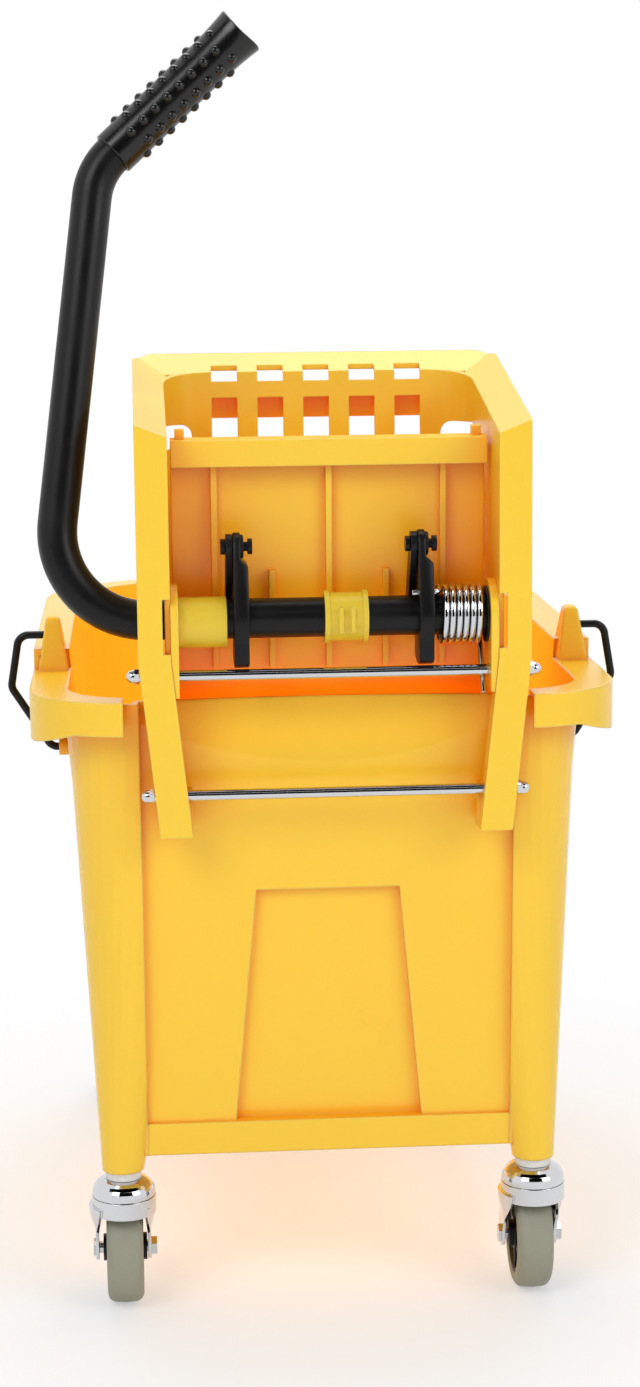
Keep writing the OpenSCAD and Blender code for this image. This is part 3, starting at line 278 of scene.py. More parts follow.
@dataclass(frozen=True)
class Finish:
    """A finish with a slow drift of colour and gloss, a fine surface grain, a painted edge highlight and,
    if given, painted hollow shade.

    Colours are sRGB hex values and sizes are millimetres. A grain too fine to show is drawn coarser than
    the real one.
    """

    name: str
    colour: str
    drift_colour: str
    roughness: tuple[float, float]
    drift_mm: float
    grain_mm: float
    grain_depth_mm: float
    edge_mm: float
    # Colour of the painted highlight along rounded edges
    edge_highlight_colour: str
    metallic: float = 0.0
    ior: float = 1.5
    specular: float = 0.5
    # Colour of the painted shade in hollows, standing in for light bounced through the plastic
    hollow_shade_colour: str | None = None
    hollow_shade_mm: float = 110.0
    subsurface: float = 0.0
    subsurface_mm: tuple[float, float, float] = (5.0, 2.2, 0.4)

    DRIFT_NOISE: ClassVar[dict[str, float]] = {"Detail": 3.0, "Roughness": 0.55}
    # The part of the noise that carries the whole change of gloss
    DRIFT_SPAN: ClassVar[tuple[float, float]] = (0.3, 0.7)
    GRAIN_NOISE: ClassVar[dict[str, float]] = {"Detail": 2.0}
    GRAIN_STRENGTH: ClassVar[float] = 0.6
    # How well the rounded normal agrees with the flat one where the painted edge highlight starts and is
    # full
    EDGE_HIGHLIGHT_SPAN: ClassVar[tuple[float, float]] = (0.99, 0.80)
    EDGE_SAMPLES: ClassVar[int] = 8
    # How open the surface is where the painted hollow shade starts and is full
    HOLLOW_SHADE_SPAN: ClassVar[tuple[float, float]] = (0.85, 0.3)
    HOLLOW_SHADE_SAMPLES: ClassVar[int] = 12

    def material(self) -> bpy.types.Material:
        """Build the material, or hand back the one built before.

        Returns:
            The node material of this finish.
        """
        found = bpy.data.materials.get(self.name)
        if found:
            return found
        made = bare_material(self.name)
        tree = made.node_tree
        place = add_node(tree, "ShaderNodeTexCoord").outputs["Object"]
        drift = add_node(
            tree,
            "ShaderNodeTexNoise",
            {"Vector": place, "Scale": 1 / (self.drift_mm * MM), **self.DRIFT_NOISE},
        ).outputs["Fac"]
        colour = add_node(
            tree,
            "ShaderNodeMix",
            {"Factor": drift, MIX_FIRST: linear(self.colour), MIX_SECOND: linear(self.drift_colour)},
            data_type="RGBA",
        ).outputs[MIX_RESULT]
        gloss = add_node(
            tree,
            "ShaderNodeMapRange",
            {"Value": drift, **dict(zip(LIMITS, self.DRIFT_SPAN + self.roughness))},
        ).outputs[0]
        grain = add_node(
            tree,
            "ShaderNodeTexNoise",
            {"Vector": place, "Scale": 1 / (self.grain_mm * MM), **self.GRAIN_NOISE},
        ).outputs["Fac"]
        soft = add_node(
            tree, "ShaderNodeBevel", {"Radius": self.edge_mm * MM}, samples=self.EDGE_SAMPLES
        ).outputs["Normal"]
        # Painted highlight: the colour turns paler where the rounded edge normal leaves the flat one
        flat = add_node(tree, "ShaderNodeNewGeometry").outputs["Normal"]
        turn = add_node(
            tree, "ShaderNodeVectorMath", {0: soft, 1: flat}, operation="DOT_PRODUCT"
        ).outputs["Value"]
        painted_edge_highlight = add_node(
            tree, "ShaderNodeMapRange", {"Value": turn, **dict(zip(LIMITS, self.EDGE_HIGHLIGHT_SPAN + FULL_SPAN))}
        ).outputs[0]
        colour = add_node(
            tree,
            "ShaderNodeMix",
            {"Factor": painted_edge_highlight, MIX_FIRST: colour, MIX_SECOND: linear(self.edge_highlight_colour)},
            data_type="RGBA",
        ).outputs[MIX_RESULT]
        # Painted shade: a deeper colour where the surface is hollow
        if self.hollow_shade_colour:
            colour = self.paint_hollow_shade(tree, colour)
        bump = add_node(
            tree,
            "ShaderNodeBump",
            {
                "Height": grain,
                "Distance": self.grain_depth_mm * MM,
                "Strength": self.GRAIN_STRENGTH,
                "Normal": soft,
            },
        )
        shader = add_node(
            tree,
            "ShaderNodeBsdfPrincipled",
            {
                "Base Color": colour,
                "Roughness": gloss,
                "Normal": bump.outputs["Normal"],
                "Metallic": self.metallic,
                "IOR": self.ior,
                "Specular IOR Level": self.specular,
                "Subsurface Weight": self.subsurface,
                "Subsurface Radius": tuple(v * MM for v in self.subsurface_mm),
                "Subsurface Scale": 1.0,
            },
        )
        add_node(tree, "ShaderNodeOutputMaterial", {"Surface": shader.outputs["BSDF"]})
        return made

    def paint_hollow_shade(self, tree: bpy.types.NodeTree, colour: bpy.types.NodeSocket) -> bpy.types.NodeSocket:
        """Paint shade into hollows: a deeper colour that stands in for light bounced through the plastic
        many times.

        Args:
            tree: The node tree that takes the nodes.
            colour: The socket that gives the open surface's colour.

        Returns:
            The socket that gives the colour with painted hollow shade.
        """
        hollow = add_node(
            tree, "ShaderNodeAmbientOcclusion", {"Distance": self.hollow_shade_mm * MM}, samples=self.HOLLOW_SHADE_SAMPLES
        ).outputs["AO"]
        share = add_node(
            tree, "ShaderNodeMapRange", {"Value": hollow, **dict(zip(LIMITS, self.HOLLOW_SHADE_SPAN + FULL_SPAN))}
        ).outputs[0]
        return add_node(
            tree,
            "ShaderNodeMix",
            {"Factor": share, MIX_FIRST: colour, MIX_SECOND: linear(self.hollow_shade_colour)},
            data_type="RGBA",
        ).outputs[MIX_RESULT]


class Finishes(Enum):
    """Finishes of the real pieces."""

    # Moulded polypropylene: warm yellow with a soft sheen, a painted highlight that makes its edges paler
    # and painted shade of deep orange in its hollows
    YELLOW = Finish(
        "moulded_yellow_polypropylene", "#F6C934", drift_colour="#F5C832", roughness=(0.255, 0.275),
        drift_mm=120, grain_mm=1.2, grain_depth_mm=0.008, edge_mm=2.6, edge_highlight_colour="#F8D566",
        ior=1.49, subsurface=0.15, hollow_shade_colour="#F89E06",
    )
    # The same plastic in the thinner walls of the wringer, with tighter edges
    YELLOW_THIN = Finish(
        "moulded_yellow_thin_wall", "#F5CA34", drift_colour="#F4C932", roughness=(0.255, 0.275),
        drift_mm=90, grain_mm=1.2, grain_depth_mm=0.008, edge_mm=1.3, edge_highlight_colour="#F8D86E",
        ior=1.49, subsurface=0.2, hollow_shade_colour="#F89E06",
    )
    # Moulded nylon: paler and waxier than the tub, with a painted highlight that makes its edges paler
    PALE = Finish(
        "moulded_pale_nylon", "#E3C42F", drift_colour="#DABA28", roughness=(0.34, 0.42),
        drift_mm=30, grain_mm=1.0, grain_depth_mm=0.02, edge_mm=1.0, edge_highlight_colour="#EFD968",
        ior=1.53, subsurface=0.2,
    )
    # Powder coat on steel: near black with a soft orange peel, with a painted highlight that greys its
    # edges a touch
    POWDER = Finish(
        "black_powder_coat", "#0C0C0D", drift_colour="#111112", roughness=(0.30, 0.42),
        drift_mm=25, grain_mm=1.6, grain_depth_mm=0.03, edge_mm=0.8, edge_highlight_colour="#1E1E20", specular=0.25,
    )
    # Moulded rubber: deep black with a wet-looking streak of light along its length
    RUBBER = Finish(
        "moulded_black_rubber", "#080808", drift_colour="#0C0C0C", roughness=(0.20, 0.28),
        drift_mm=18, grain_mm=0.9, grain_depth_mm=0.02, edge_mm=0.8, edge_highlight_colour="#141414",
        ior=1.52, specular=0.45,
    )
    # Bright chrome plate: mirror with the faintest haze
    CHROME = Finish(
        "bright_chrome_plate", "#D6D8DB", drift_colour="#CDCFD3", roughness=(0.05, 0.10),
        drift_mm=20, grain_mm=2.5, grain_depth_mm=0.004, edge_mm=0.6, edge_highlight_colour="#E2E3E5", metallic=1.0,
    )
    # Zinc plate on pressed steel: bright but a little cloudy
    ZINC = Finish(
        "zinc_plated_pressing", "#CFD0D3", drift_colour="#BDBFC4", roughness=(0.12, 0.24),
        drift_mm=9, grain_mm=1.4, grain_depth_mm=0.010, edge_mm=0.5, edge_highlight_colour="#DADBDD", metallic=1.0,
    )
    # Moulded white nylon: clean and waxy
    WHITE = Finish(
        "moulded_white_nylon", "#E6E5DF", drift_colour="#DDDBD3", roughness=(0.36, 0.44),
        drift_mm=12, grain_mm=0.9, grain_depth_mm=0.015, edge_mm=0.8, edge_highlight_colour="#EEEDE8",
        ior=1.53, subsurface=0.1,
    )
    # Thermoplastic rubber tread: greenish grey, dull, with a painted highlight that makes its shoulders
    # faintly paler
    TREAD = Finish(
        "grey_rubber_tread", "#9B9B89", drift_colour="#90907E", roughness=(0.50, 0.64),
        drift_mm=14, grain_mm=0.8, grain_depth_mm=0.03, edge_mm=0.8, edge_highlight_colour="#A6A595", specular=0.35,
    )
    # Moulded hub plastic: black with a satin face
    HUB = Finish(
        "moulded_black_hub", "#0E0E0F", drift_colour="#141415", roughness=(0.40, 0.50),
        drift_mm=16, grain_mm=0.9, grain_depth_mm=0.02, edge_mm=0.6, edge_highlight_colour="#222223", specular=0.3,
    )


def dress(node: str, finish: Finishes) -> None:
    """Give a CAD node its finish.

    Args:
        node: The node's name.
        finish: The finish it takes.
    """
    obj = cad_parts[node]
    obj.data.materials.clear()
    obj.data.materials.append(finish.value.material())
    LOG.info("dressed %s as %s", node, finish.value.name)


class Corner(Enum):
    """The four casters."""

    NEAR_LEFT = "near_left"
    NEAR_RIGHT = "near_right"
    FAR_LEFT = "far_left"
    FAR_RIGHT = "far_right"


@dataclass
class Bucket:
    """The tub with its side handles."""

    sides: tuple[str, str] = SIDES

    def dress(self) -> None:
        """Finish the tub and the wire handles."""
        dress("tub", Finishes.YELLOW)
        for side in self.sides:
            dress(f"side_handle_{side}", Finishes.POWDER)


@dataclass
class Casters:
    """The four swivel casters with pressed forks, round tyres and ribbed hubs, in millimetres."""

    ribs: int = 6
    rib_in_r: float = 9.5
    rib_out_r: float = 24.0
    rib_foot: float = 6.8
    rib_head: float = 10.4
    rib_root_w: float = 4.4
    rib_tip_w: float = 2.6
    rib_edge: float = 0.7
    tyre_in_r: float = 27.0
    tyre_r: float = 37.0
    tyre_w: float = 24.4
    tyre_shoulder: float = 6.0
    tyre_crown: float = 0.4
    tyre_lip: float = 0.8
    tyre_steps: int = 72
    steel_t: float = 2.2
    hood_r: float = 21.5
    hood_low: float = 68.5
    hood_top: float = 80.0
    hood_edge: float = 3.0
    hood_steps: int = 48
    stem_r: float = 5.9
    wheel_gap: float = 15.0
    wheel_gap_y: float = -8.0
    leg_top: float = 74.0
    leg_top_w: float = 31.0
    leg_x: float = 17.5
    leg_eye_r: float = 8.5
    # How far below the axle the leg ends, as a share of its eye
    leg_eye_share: float = 0.97
    # How much sooner the leg bends in than it narrows
    leg_bend_lead: float = 1.5
    leg_rows: int = 20
    leg_columns: int = 12
    axle_z: float = 37.0

    # A face whose normal leans this far up or down counts as level
    LEVEL: ClassVar[float] = 0.5
    FINISHES: ClassVar[dict[str, Finishes]] = {
        "caster_sleeve": Finishes.WHITE,
        "caster_stem": Finishes.ZINC,
        "caster_cup": Finishes.CHROME,
        "caster_fork": Finishes.CHROME,
        "caster_axle": Finishes.ZINC,
        "wheel_hub": Finishes.HUB,
        "wheel_tyre": Finishes.TREAD,
    }

    def dress(self) -> None:
        """Finish every piece of every caster."""
        for corner in Corner:
            for piece, finish in self.FINISHES.items():
                dress(f"{piece}_{corner.value}", finish)

    def rib(self) -> bpy.types.Object:
        """Model one rib that stands on the right face of a hub and narrows outwards.

        Returns:
            The rib, with the wheel's middle at the origin.
        """
        deselect_all()
        length = self.rib_out_r - self.rib_in_r
        half_way = (self.rib_in_r + length / 2) * MM
        bpy.ops.mesh.primitive_cube_add(
            size=1,
            location=((self.rib_foot + self.rib_head) / 2 * MM, 0, half_way),
            scale=((self.rib_head - self.rib_foot) * MM, self.rib_root_w * MM, length * MM),
        )
        rib = bpy.context.object
        bake_place(rib)
        bpy.ops.object.mode_set(mode="EDIT")
        bpy.ops.mesh.select_all(action="DESELECT")
        bpy.ops.object.mode_set(mode="OBJECT")
        for spot in rib.data.vertices:
            spot.select = spot.co.z > half_way
        bpy.ops.object.mode_set(mode="EDIT")
        narrowing = self.rib_tip_w / self.rib_root_w
        bpy.ops.transform.resize(value=(1, narrowing, 1), center_override=(0, 0, 0))
        bpy.ops.mesh.select_all(action="SELECT")
        bpy.ops.mesh.bevel(offset=self.rib_edge * MM, segments=EDGE_STEPS, affect="EDGES")
        bpy.ops.object.mode_set(mode="OBJECT")
        bpy.ops.object.shade_smooth_by_angle(angle=CREASE)
        return rib

    def tyre(self) -> bpy.types.Object:
        """Turn the tyre's section, with round shoulders and a slightly crowned tread.

        Returns:
            The tyre, with the wheel's middle at the origin and its axis on X.
        """
        half, edge = self.tyre_w / 2, self.tyre_shoulder
        shoulder_r = self.tyre_r - self.tyre_crown - edge
        outline = [(self.tyre_in_r, -half + self.tyre_lip), (self.tyre_in_r + self.tyre_lip, -half)]
        outline += rounded(shoulder_r, -half + edge, edge, -90, 0)
        outline += [(self.tyre_r, 0)]
        outline += rounded(shoulder_r, half - edge, edge, 0, 90)
        outline += [(self.tyre_in_r + self.tyre_lip, half), (self.tyre_in_r, half - self.tyre_lip)]
        tyre = lathe("tyre_pattern", outline, self.tyre_steps)
        tyre.data.transform(Matrix.Rotation(math.pi / 2, 4, "Y"))
        return tyre

    def leg(self, side: int, trail: float) -> bpy.types.Object:
        """Model one fork leg, which leaves the round hood and bends in to the axle.

        Args:
            side: 1 for the right leg, -1 for the left.
            trail: How far the axle stands behind the stem, in millimetres.

        Returns:
            The leg as bare sheet, with the foot of the stem's axis at the origin.
        """
        deselect_all()
        bpy.ops.mesh.primitive_grid_add(
            x_subdivisions=self.leg_columns, y_subdivisions=self.leg_rows, size=2
        )
        leg = bpy.context.object
        low = self.axle_z - self.leg_eye_share * self.leg_eye_r
        half_top = self.leg_top_w / 2
        for spot in leg.data.vertices:
            u, v = spot.co.x, (1 - spot.co.y) / 2
            z = self.leg_top + (low - self.leg_top) * v
            drop = min(1.0, (self.leg_top - z) / (self.leg_top - self.axle_z))
            if z >= self.axle_z:
                half = half_top + (self.leg_eye_r - half_top) * eased(drop)
            else:
                half = math.sqrt(self.leg_eye_r**2 - (self.axle_z - z) ** 2)
            y = trail * eased(drop) + u * half
            bowed = math.sqrt(self.hood_r**2 - (u * half_top) ** 2)
            x = bowed + (self.leg_x - bowed) * eased(min(1.0, self.leg_bend_lead * drop))
            spot.co = (side * x * MM, y * MM, z * MM)
        bpy.ops.object.mode_set(mode="EDIT")
        bpy.ops.mesh.select_all(action="SELECT")
        bpy.ops.mesh.normals_make_consistent(inside=False)
        if (leg.data.polygons[0].normal.x > 0) != (side > 0):
            bpy.ops.mesh.flip_normals()
        bpy.ops.object.mode_set(mode="OBJECT")
        return leg

    def hood(self) -> bpy.types.Object:
        """Model the round hood under the cup, open below and, for the wheel, at the back.

        Returns:
            The hood as bare sheet, with the foot of the stem's axis at the origin.
        """
        deselect_all()
        bpy.ops.mesh.primitive_cylinder_add(
            vertices=self.hood_steps,
            radius=self.hood_r * MM,
            depth=(self.hood_top - self.hood_low) * MM,
            location=(0, 0, (self.hood_top + self.hood_low) / 2 * MM),
        )
        hood = bpy.context.object
        bake_place(hood)
        bpy.ops.object.mode_set(mode="EDIT")
        bpy.ops.mesh.select_all(action="DESELECT")
        bpy.ops.object.mode_set(mode="OBJECT")
        for face in hood.data.polygons:
            face.select = face.normal.z < -self.LEVEL or (
                abs(face.normal.z) < self.LEVEL
                and face.center.y > self.wheel_gap_y * MM
                and abs(face.center.x) < self.wheel_gap * MM
            )
        bpy.ops.object.mode_set(mode="EDIT")
        bpy.ops.mesh.delete(type="FACE")
        bpy.ops.object.mode_set(mode="OBJECT")
        for face in hood.data.polygons:
            face.select = face.normal.z > self.LEVEL
        bpy.ops.object.mode_set(mode="EDIT")
        bpy.ops.mesh.select_mode(type="FACE")
        bpy.ops.mesh.inset(thickness=self.hood_edge * MM)
        bpy.ops.mesh.inset(thickness=(self.hood_r - self.hood_edge - self.stem_r) * MM)
        bpy.ops.mesh.delete(type="FACE")
        bpy.ops.object.mode_set(mode="OBJECT")
        return hood

    def fork(self, trail: float) -> bpy.types.Object:
        """Join hood and legs and give the sheet its thickness.

        Args:
            trail: How far the axle stands behind the stem, in millimetres.

        Returns:
            The fork, with the foot of the stem's axis at the origin.
        """
        fork = join([self.hood(), self.leg(1, trail), self.leg(-1, trail)], "fork_pattern")
        select_only(fork)
        thick = fork.modifiers.new("sheet", "SOLIDIFY")
        thick.thickness = self.steel_t * MM
        thick.offset = -1
        bpy.ops.object.modifier_apply(modifier=thick.name)
        bpy.ops.object.shade_smooth_by_angle(angle=CREASE)
        return fork

    def hub_ribs(self, pattern: bpy.types.Object, corner: Corner, middle: Vector) -> None:
        """Set ribs round both faces of a hub.

        Args:
            pattern: One rib, with the wheel's middle at the origin.
            corner: The caster.
            middle: The wheel's middle, in metres.
        """
        ribs = []
        for face in (0, math.pi):
            for k in range(self.ribs):
                spoke = Matrix.Rotation(2 * math.pi * k / self.ribs, 4, "X")
                turn = spoke @ Matrix.Rotation(face, 4, "Z")
                ribs.append(stamp(pattern, "hub_rib", Matrix.Translation(middle) @ turn))
        made = join(ribs, f"hub_ribs_{corner.value}")
        made.data.materials.append(Finishes.HUB.value.material())
        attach(made, f"wheel_{corner.value}")
        LOG.info("built %s", made.name)

    def build(self) -> None:
        """Give every caster its pressed fork, round tyre and hub ribs."""
        rib = self.rib()
        tyre = self.tyre()
        forks: dict[float, bpy.types.Object] = {}
        for corner in Corner:
            middle = middle_of(f"wheel_hub_{corner.value}")
            stem = middle_of(f"caster_cup_{corner.value}")
            trail = round((middle.y - stem.y) / MM, MICRON_DIGITS)
            if trail not in forks:
                forks[trail] = self.fork(trail)
            foot = Matrix.Translation(Vector((stem.x, stem.y, 0)))
            fork = stamp(forks[trail], f"pressed_fork_{corner.value}", foot)
            fork.data.materials.append(Finishes.CHROME.value.material())
            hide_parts(f"caster_fork_{corner.value}")
            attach(fork, f"fork_{corner.value}")
            tread = stamp(tyre, f"round_tyre_{corner.value}", Matrix.Translation(middle))
            tread.data.materials.append(Finishes.TREAD.value.material())
            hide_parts(f"wheel_tyre_{corner.value}")
            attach(tread, f"wheel_{corner.value}")
            LOG.info("built %s and %s", fork.name, tread.name)
            self.hub_ribs(rib, corner, middle)
        for spare in (rib, tyre, *forks.values()):
            bpy.data.objects.remove(spare)


@dataclass
class Wringer:
    """The hung frame with its fixed fittings, the press plate and the moving steel, in millimetres."""

    nut_r: float = 4.9
    nut_t: float = 3.6
    nut_sides: int = 6
    nut_cap_r: float = 4.2
    nut_cap_rise: float = 0.6
    nut_cap_steps: int = 24
    nut_on_rod: float = 3.3
    rods: tuple[str, str] = ("upper_tie_rod", "lower_tie_rod")

    FINISHES: ClassVar[dict[Finishes, tuple[str, ...]]] = {
        Finishes.YELLOW_THIN: (
            "wringer_frame", "press_plate", "bearing_bracket_left", "bearing_bracket_right",
        ),
        Finishes.PALE: ("shaft_bush", "shaft_clip"),
        Finishes.CHROME: (
            "upper_tie_rod", "lower_tie_rod", "plate_hinge_rod", "dome_nuts", "torsion_spring",
        ),
        Finishes.POWDER: (
            "crank_lever_left", "crank_lever_right", "link_left", "link_right", "crank_pins", "plate_pins",
            "handle_tube", "shaft_collar",
        ),
        Finishes.RUBBER: ("hand_grip",),
    }

    def dress(self) -> None:
        """Finish every piece of the wringer."""
        for finish, nodes in self.FINISHES.items():
            for node in nodes:
                dress(node, finish)

    def nut(self) -> bpy.types.Object:
        """Model a six-sided nut with a domed cap.

        Returns:
            The nut, with its seat at the origin and its cap up.
        """
        edge_z = self.nut_t - (self.nut_r - self.nut_cap_r)
        base = [(0, 0), (self.nut_r, 0), (self.nut_r, edge_z)]
        base += [(self.nut_cap_r, self.nut_t), (0, self.nut_t)]
        dome = rounded(0, self.nut_t + self.nut_cap_rise, self.nut_cap_r, 0, 90)
        cap = [(0, edge_z), (self.nut_cap_r, edge_z)] + [(max(r, 0), z) for r, z in dome]
        pieces = [
            lathe("nut", base, self.nut_sides, ring=False),
            lathe("nut_cap", cap, self.nut_cap_steps, ring=False),
        ]
        return join(pieces, "nut_pattern")

    def build(self) -> None:
        """Put a nut on both ends of both tie rods."""
        pattern = self.nut()
        nuts = []
        for rod in self.rods:
            low, high = (Vector(corner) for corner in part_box(rod))
            middle = middle_of(rod)
            for side, end in ((1, high.x), (-1, low.x)):
                seat = Vector((end - side * self.nut_on_rod * MM, middle.y, middle.z))
                turn = Matrix.Rotation(side * math.pi / 2, 4, "Y")
                nuts.append(stamp(pattern, "rod_nut", Matrix.Translation(seat) @ turn))
        bpy.data.objects.remove(pattern)
        made = join(nuts, "rod_nuts")
        made.data.materials.append(Finishes.CHROME.value.material())
        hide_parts("dome_nuts")
        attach(made, "wringer")
        LOG.info("built %s", made.name)


@dataclass
class OnShaft:
    """A fitting of the handle's shaft, in the wringer's millimetres."""

    shaft_y: float = 18.0
    shaft_z: float = 471.0


@dataclass
class CrankLevers(OnShaft):
    """Crank levers, whose heads are thinned to make room for the pin's washer."""

    crank_r: float = 46.0
    hub_r: float = 20.5
    eye_r: float = 9.0
    tail_w: float = 30.0
    tail_r: float = 31.5
    lever_t: float = 9.5
    head_cut: float = 4.6
    neck_drop: float = 11.5
    neck_rise: float = 4.0
    edge: float = 0.8
    washer_r: float = 7.6
    washer_t: float = 2.0
    washer_edge: float = 0.5
    washer_steps: int = 32
    sides: tuple[str, str] = SIDES

    def outline(self) -> list[tuple[float, float]]:
        """Follow the lever's edge from its tail round the hub and the eye.

        Returns:
            Depth and height of each corner from the shaft's middle.
        """
        half = self.tail_w / 2
        lean = math.degrees(math.asin((self.hub_r - self.eye_r) / self.crank_r))
        corner = math.degrees(math.acos(half / self.tail_r))
        waist = math.degrees(math.acos(half / self.hub_r))
        points = rounded(0, 0, self.tail_r, corner - 180, -corner)
        points += rounded(0, 0, self.hub_r, -waist, lean)
        points += rounded(0, self.crank_r, self.eye_r, lean, 180 - lean)
        points += rounded(0, 0, self.hub_r, 180 - lean, 180 + waist)
        return points

    def lever(self) -> bpy.types.Object:
        """Cut the lever from plate, thin its head on the right and break its edges.

        Returns:
            The lever, with its left face on the shaft's middle at the origin.
        """
        deselect_all()
        outline = self.outline()
        mesh = bpy.data.meshes.new("lever_pattern")
        mesh.from_pydata([(0, y * MM, z * MM) for y, z in outline], [], [tuple(range(len(outline)))])
        lever = add_object("lever_pattern", mesh)
        select_only(lever)
        bpy.ops.object.mode_set(mode="EDIT")
        bpy.ops.mesh.select_all(action="SELECT")
        bpy.ops.mesh.extrude_region_move(TRANSFORM_OT_translate={"value": (self.lever_t * MM, 0, 0)})
        neck_z = (self.crank_r - self.neck_drop) * MM
        for z in (neck_z, neck_z + self.neck_rise * MM):
            bpy.ops.mesh.select_all(action="SELECT")
            bpy.ops.mesh.bisect(plane_co=(0, 0, z), plane_no=(0, 0, 1))
        bpy.ops.mesh.select_all(action="SELECT")
        bpy.ops.mesh.normals_make_consistent(inside=False)
        bpy.ops.object.mode_set(mode="OBJECT")
        for spot in lever.data.vertices:
            if spot.co.x > self.lever_t / 2 * MM and spot.co.z > neck_z + self.neck_rise / 2 * MM:
                spot.co.x -= self.head_cut * MM
        soft = lever.modifiers.new("edges", "BEVEL")
        soft.width = self.edge * MM
        soft.segments = EDGE_STEPS
        soft.limit_method = "ANGLE"
        bpy.ops.object.modifier_apply(modifier=soft.name)
        bpy.ops.object.shade_smooth_by_angle(angle=CREASE)
        return lever

    def washer(self) -> bpy.types.Object:
        """Turn the washer that lies on the thinned head.

        Returns:
            The washer, in its place on the lever pattern.
        """
        r, t, edge = self.washer_r, self.washer_t, self.washer_edge
        outline = [(0, 0), (r, 0), (r, t - edge), (r - edge, t), (0, t)]
        washer = lathe("lever_washer", outline, self.washer_steps, ring=False)
        seat = Matrix.Translation(Vector((self.lever_t - self.head_cut, 0, self.crank_r)) * MM)
        washer.data.transform(seat @ Matrix.Rotation(math.pi / 2, 4, "Y"))
        return washer

    def build(self) -> None:
        """Put both levers on the shaft."""
        pattern = join([self.lever(), self.washer()], "lever_pattern")
        seat = in_wringer(0, self.shaft_y, self.shaft_z)
        for side in self.sides:
            low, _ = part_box(f"crank_lever_{side}")
            place = Matrix.Translation(Vector((low[0], seat.y, seat.z)))
            lever = stamp(pattern, f"thinned_lever_{side}", place)
            lever.data.materials.append(Finishes.POWDER.value.material())
            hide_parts(f"crank_lever_{side}")
            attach(lever, "handle")
            LOG.info("built %s", lever.name)
        bpy.data.objects.remove(pattern)


@dataclass
class TorsionSpring(OnShaft):
    """Wound spring between the right crank lever and the upper tie rod."""

    wire: float = 3.8
    wire_steps: int = 5
    coil_r: float = 17.9
    hook_deg: float = -30.0
    hook_x: float = 50.05
    hook_steps: int = 2
    lever_face_x: float = 63.55
    coil_end_x: float = 95.15
    rod_y: float = 7.0
    rod_z: float = 436.5
    rod_r: float = 3.5
    rod_gap: float = 0.3
    leg_past: float = 14.0
    leg_steps: int = 4
    turns: int = 6
    steps_per_turn: int = 40

    @property
    def coil_x(self) -> float:
        """Where the first turn starts, one wire away from the lever's face."""
        return self.lever_face_x + self.wire

    def point(self, x: float, degrees: float) -> Vector:
        """A place on the coil, with the angle counted from straight up towards the back."""
        a, r = math.radians(degrees), self.coil_r
        return in_wringer(x, self.shaft_y + r * math.sin(a), self.shaft_z + r * math.cos(a))

    def path(self) -> list[Vector]:
        """Follow the wire from its hook through the lever, round the shaft and down behind the rod.

        Returns:
            Points along the wire in the frame's metres.
        """
        pass_r = self.coil_r - (self.rod_r + self.wire / 2 + self.rod_gap)
        away_y, away_z = self.rod_y - self.shaft_y, self.rod_z - self.shaft_z
        away = math.hypot(away_y, away_z)
        leg_deg = math.degrees(math.atan2(away_y, away_z) - math.acos(pass_r / away))
        end_deg = leg_deg + 360 * (self.turns + 1 if leg_deg < self.hook_deg else self.turns)
        bend_deg = math.degrees(math.atan2(self.wire, self.coil_r))
        start_deg = self.hook_deg + bend_deg
        points = []
        for i in range(self.hook_steps + 1):
            s = i / self.hook_steps
            points.append(self.point(self.hook_x + s * (self.lever_face_x - self.hook_x), self.hook_deg))
        for i in range(1, ARC_STEPS):
            t = math.radians(90 * i / ARC_STEPS)
            x = self.lever_face_x + self.wire * math.sin(t)
            points.append(self.point(x, self.hook_deg + bend_deg * (1 - math.cos(t))))
        steps = round((end_deg - start_deg) / 360 * self.steps_per_turn)
        for i in range(steps + 1):
            s = i / steps
            x = self.coil_x + s * (self.coil_end_x - self.coil_x)
            points.append(self.point(x, start_deg + s * (end_deg - start_deg)))
        run = math.sqrt(away**2 - pass_r**2) + self.leg_past
        end = math.radians(end_deg)
        way = Vector((0, math.cos(end), -math.sin(end)))
        coil_end = points[-1]
        for i in range(1, self.leg_steps + 1):
            points.append(coil_end + way * run * MM * (i / self.leg_steps))
        return points

    def build(self) -> None:
        """Model the spring as one round wire between frame and handle."""
        points = self.path()
        deselect_all()
        curve = bpy.data.curves.new("torsion_spring_wire", "CURVE")
        curve.dimensions = "3D"
        curve.bevel_depth = self.wire / 2 * MM
        curve.bevel_resolution = self.wire_steps
        curve.use_fill_caps = True
        spline = curve.splines.new("POLY")
        spline.points.add(len(points) - 1)
        for spot, place in zip(spline.points, points):
            spot.co = (*place, 1)
        select_only(add_object("torsion_spring_wire", curve))
        bpy.ops.object.convert(target="MESH")
        spring = bpy.context.object
        bpy.ops.object.mode_set(mode="EDIT")
        bpy.ops.mesh.select_all(action="SELECT")
        bpy.ops.mesh.remove_doubles(threshold=MERGE_M)
        bpy.ops.object.mode_set(mode="OBJECT")
        bpy.ops.object.shade_smooth_by_angle(angle=CREASE)
        spring.data.materials.append(Finishes.CHROME.value.material())
        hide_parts("torsion_spring")
        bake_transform(spring)
        LOG.info("built %s", spring.name)


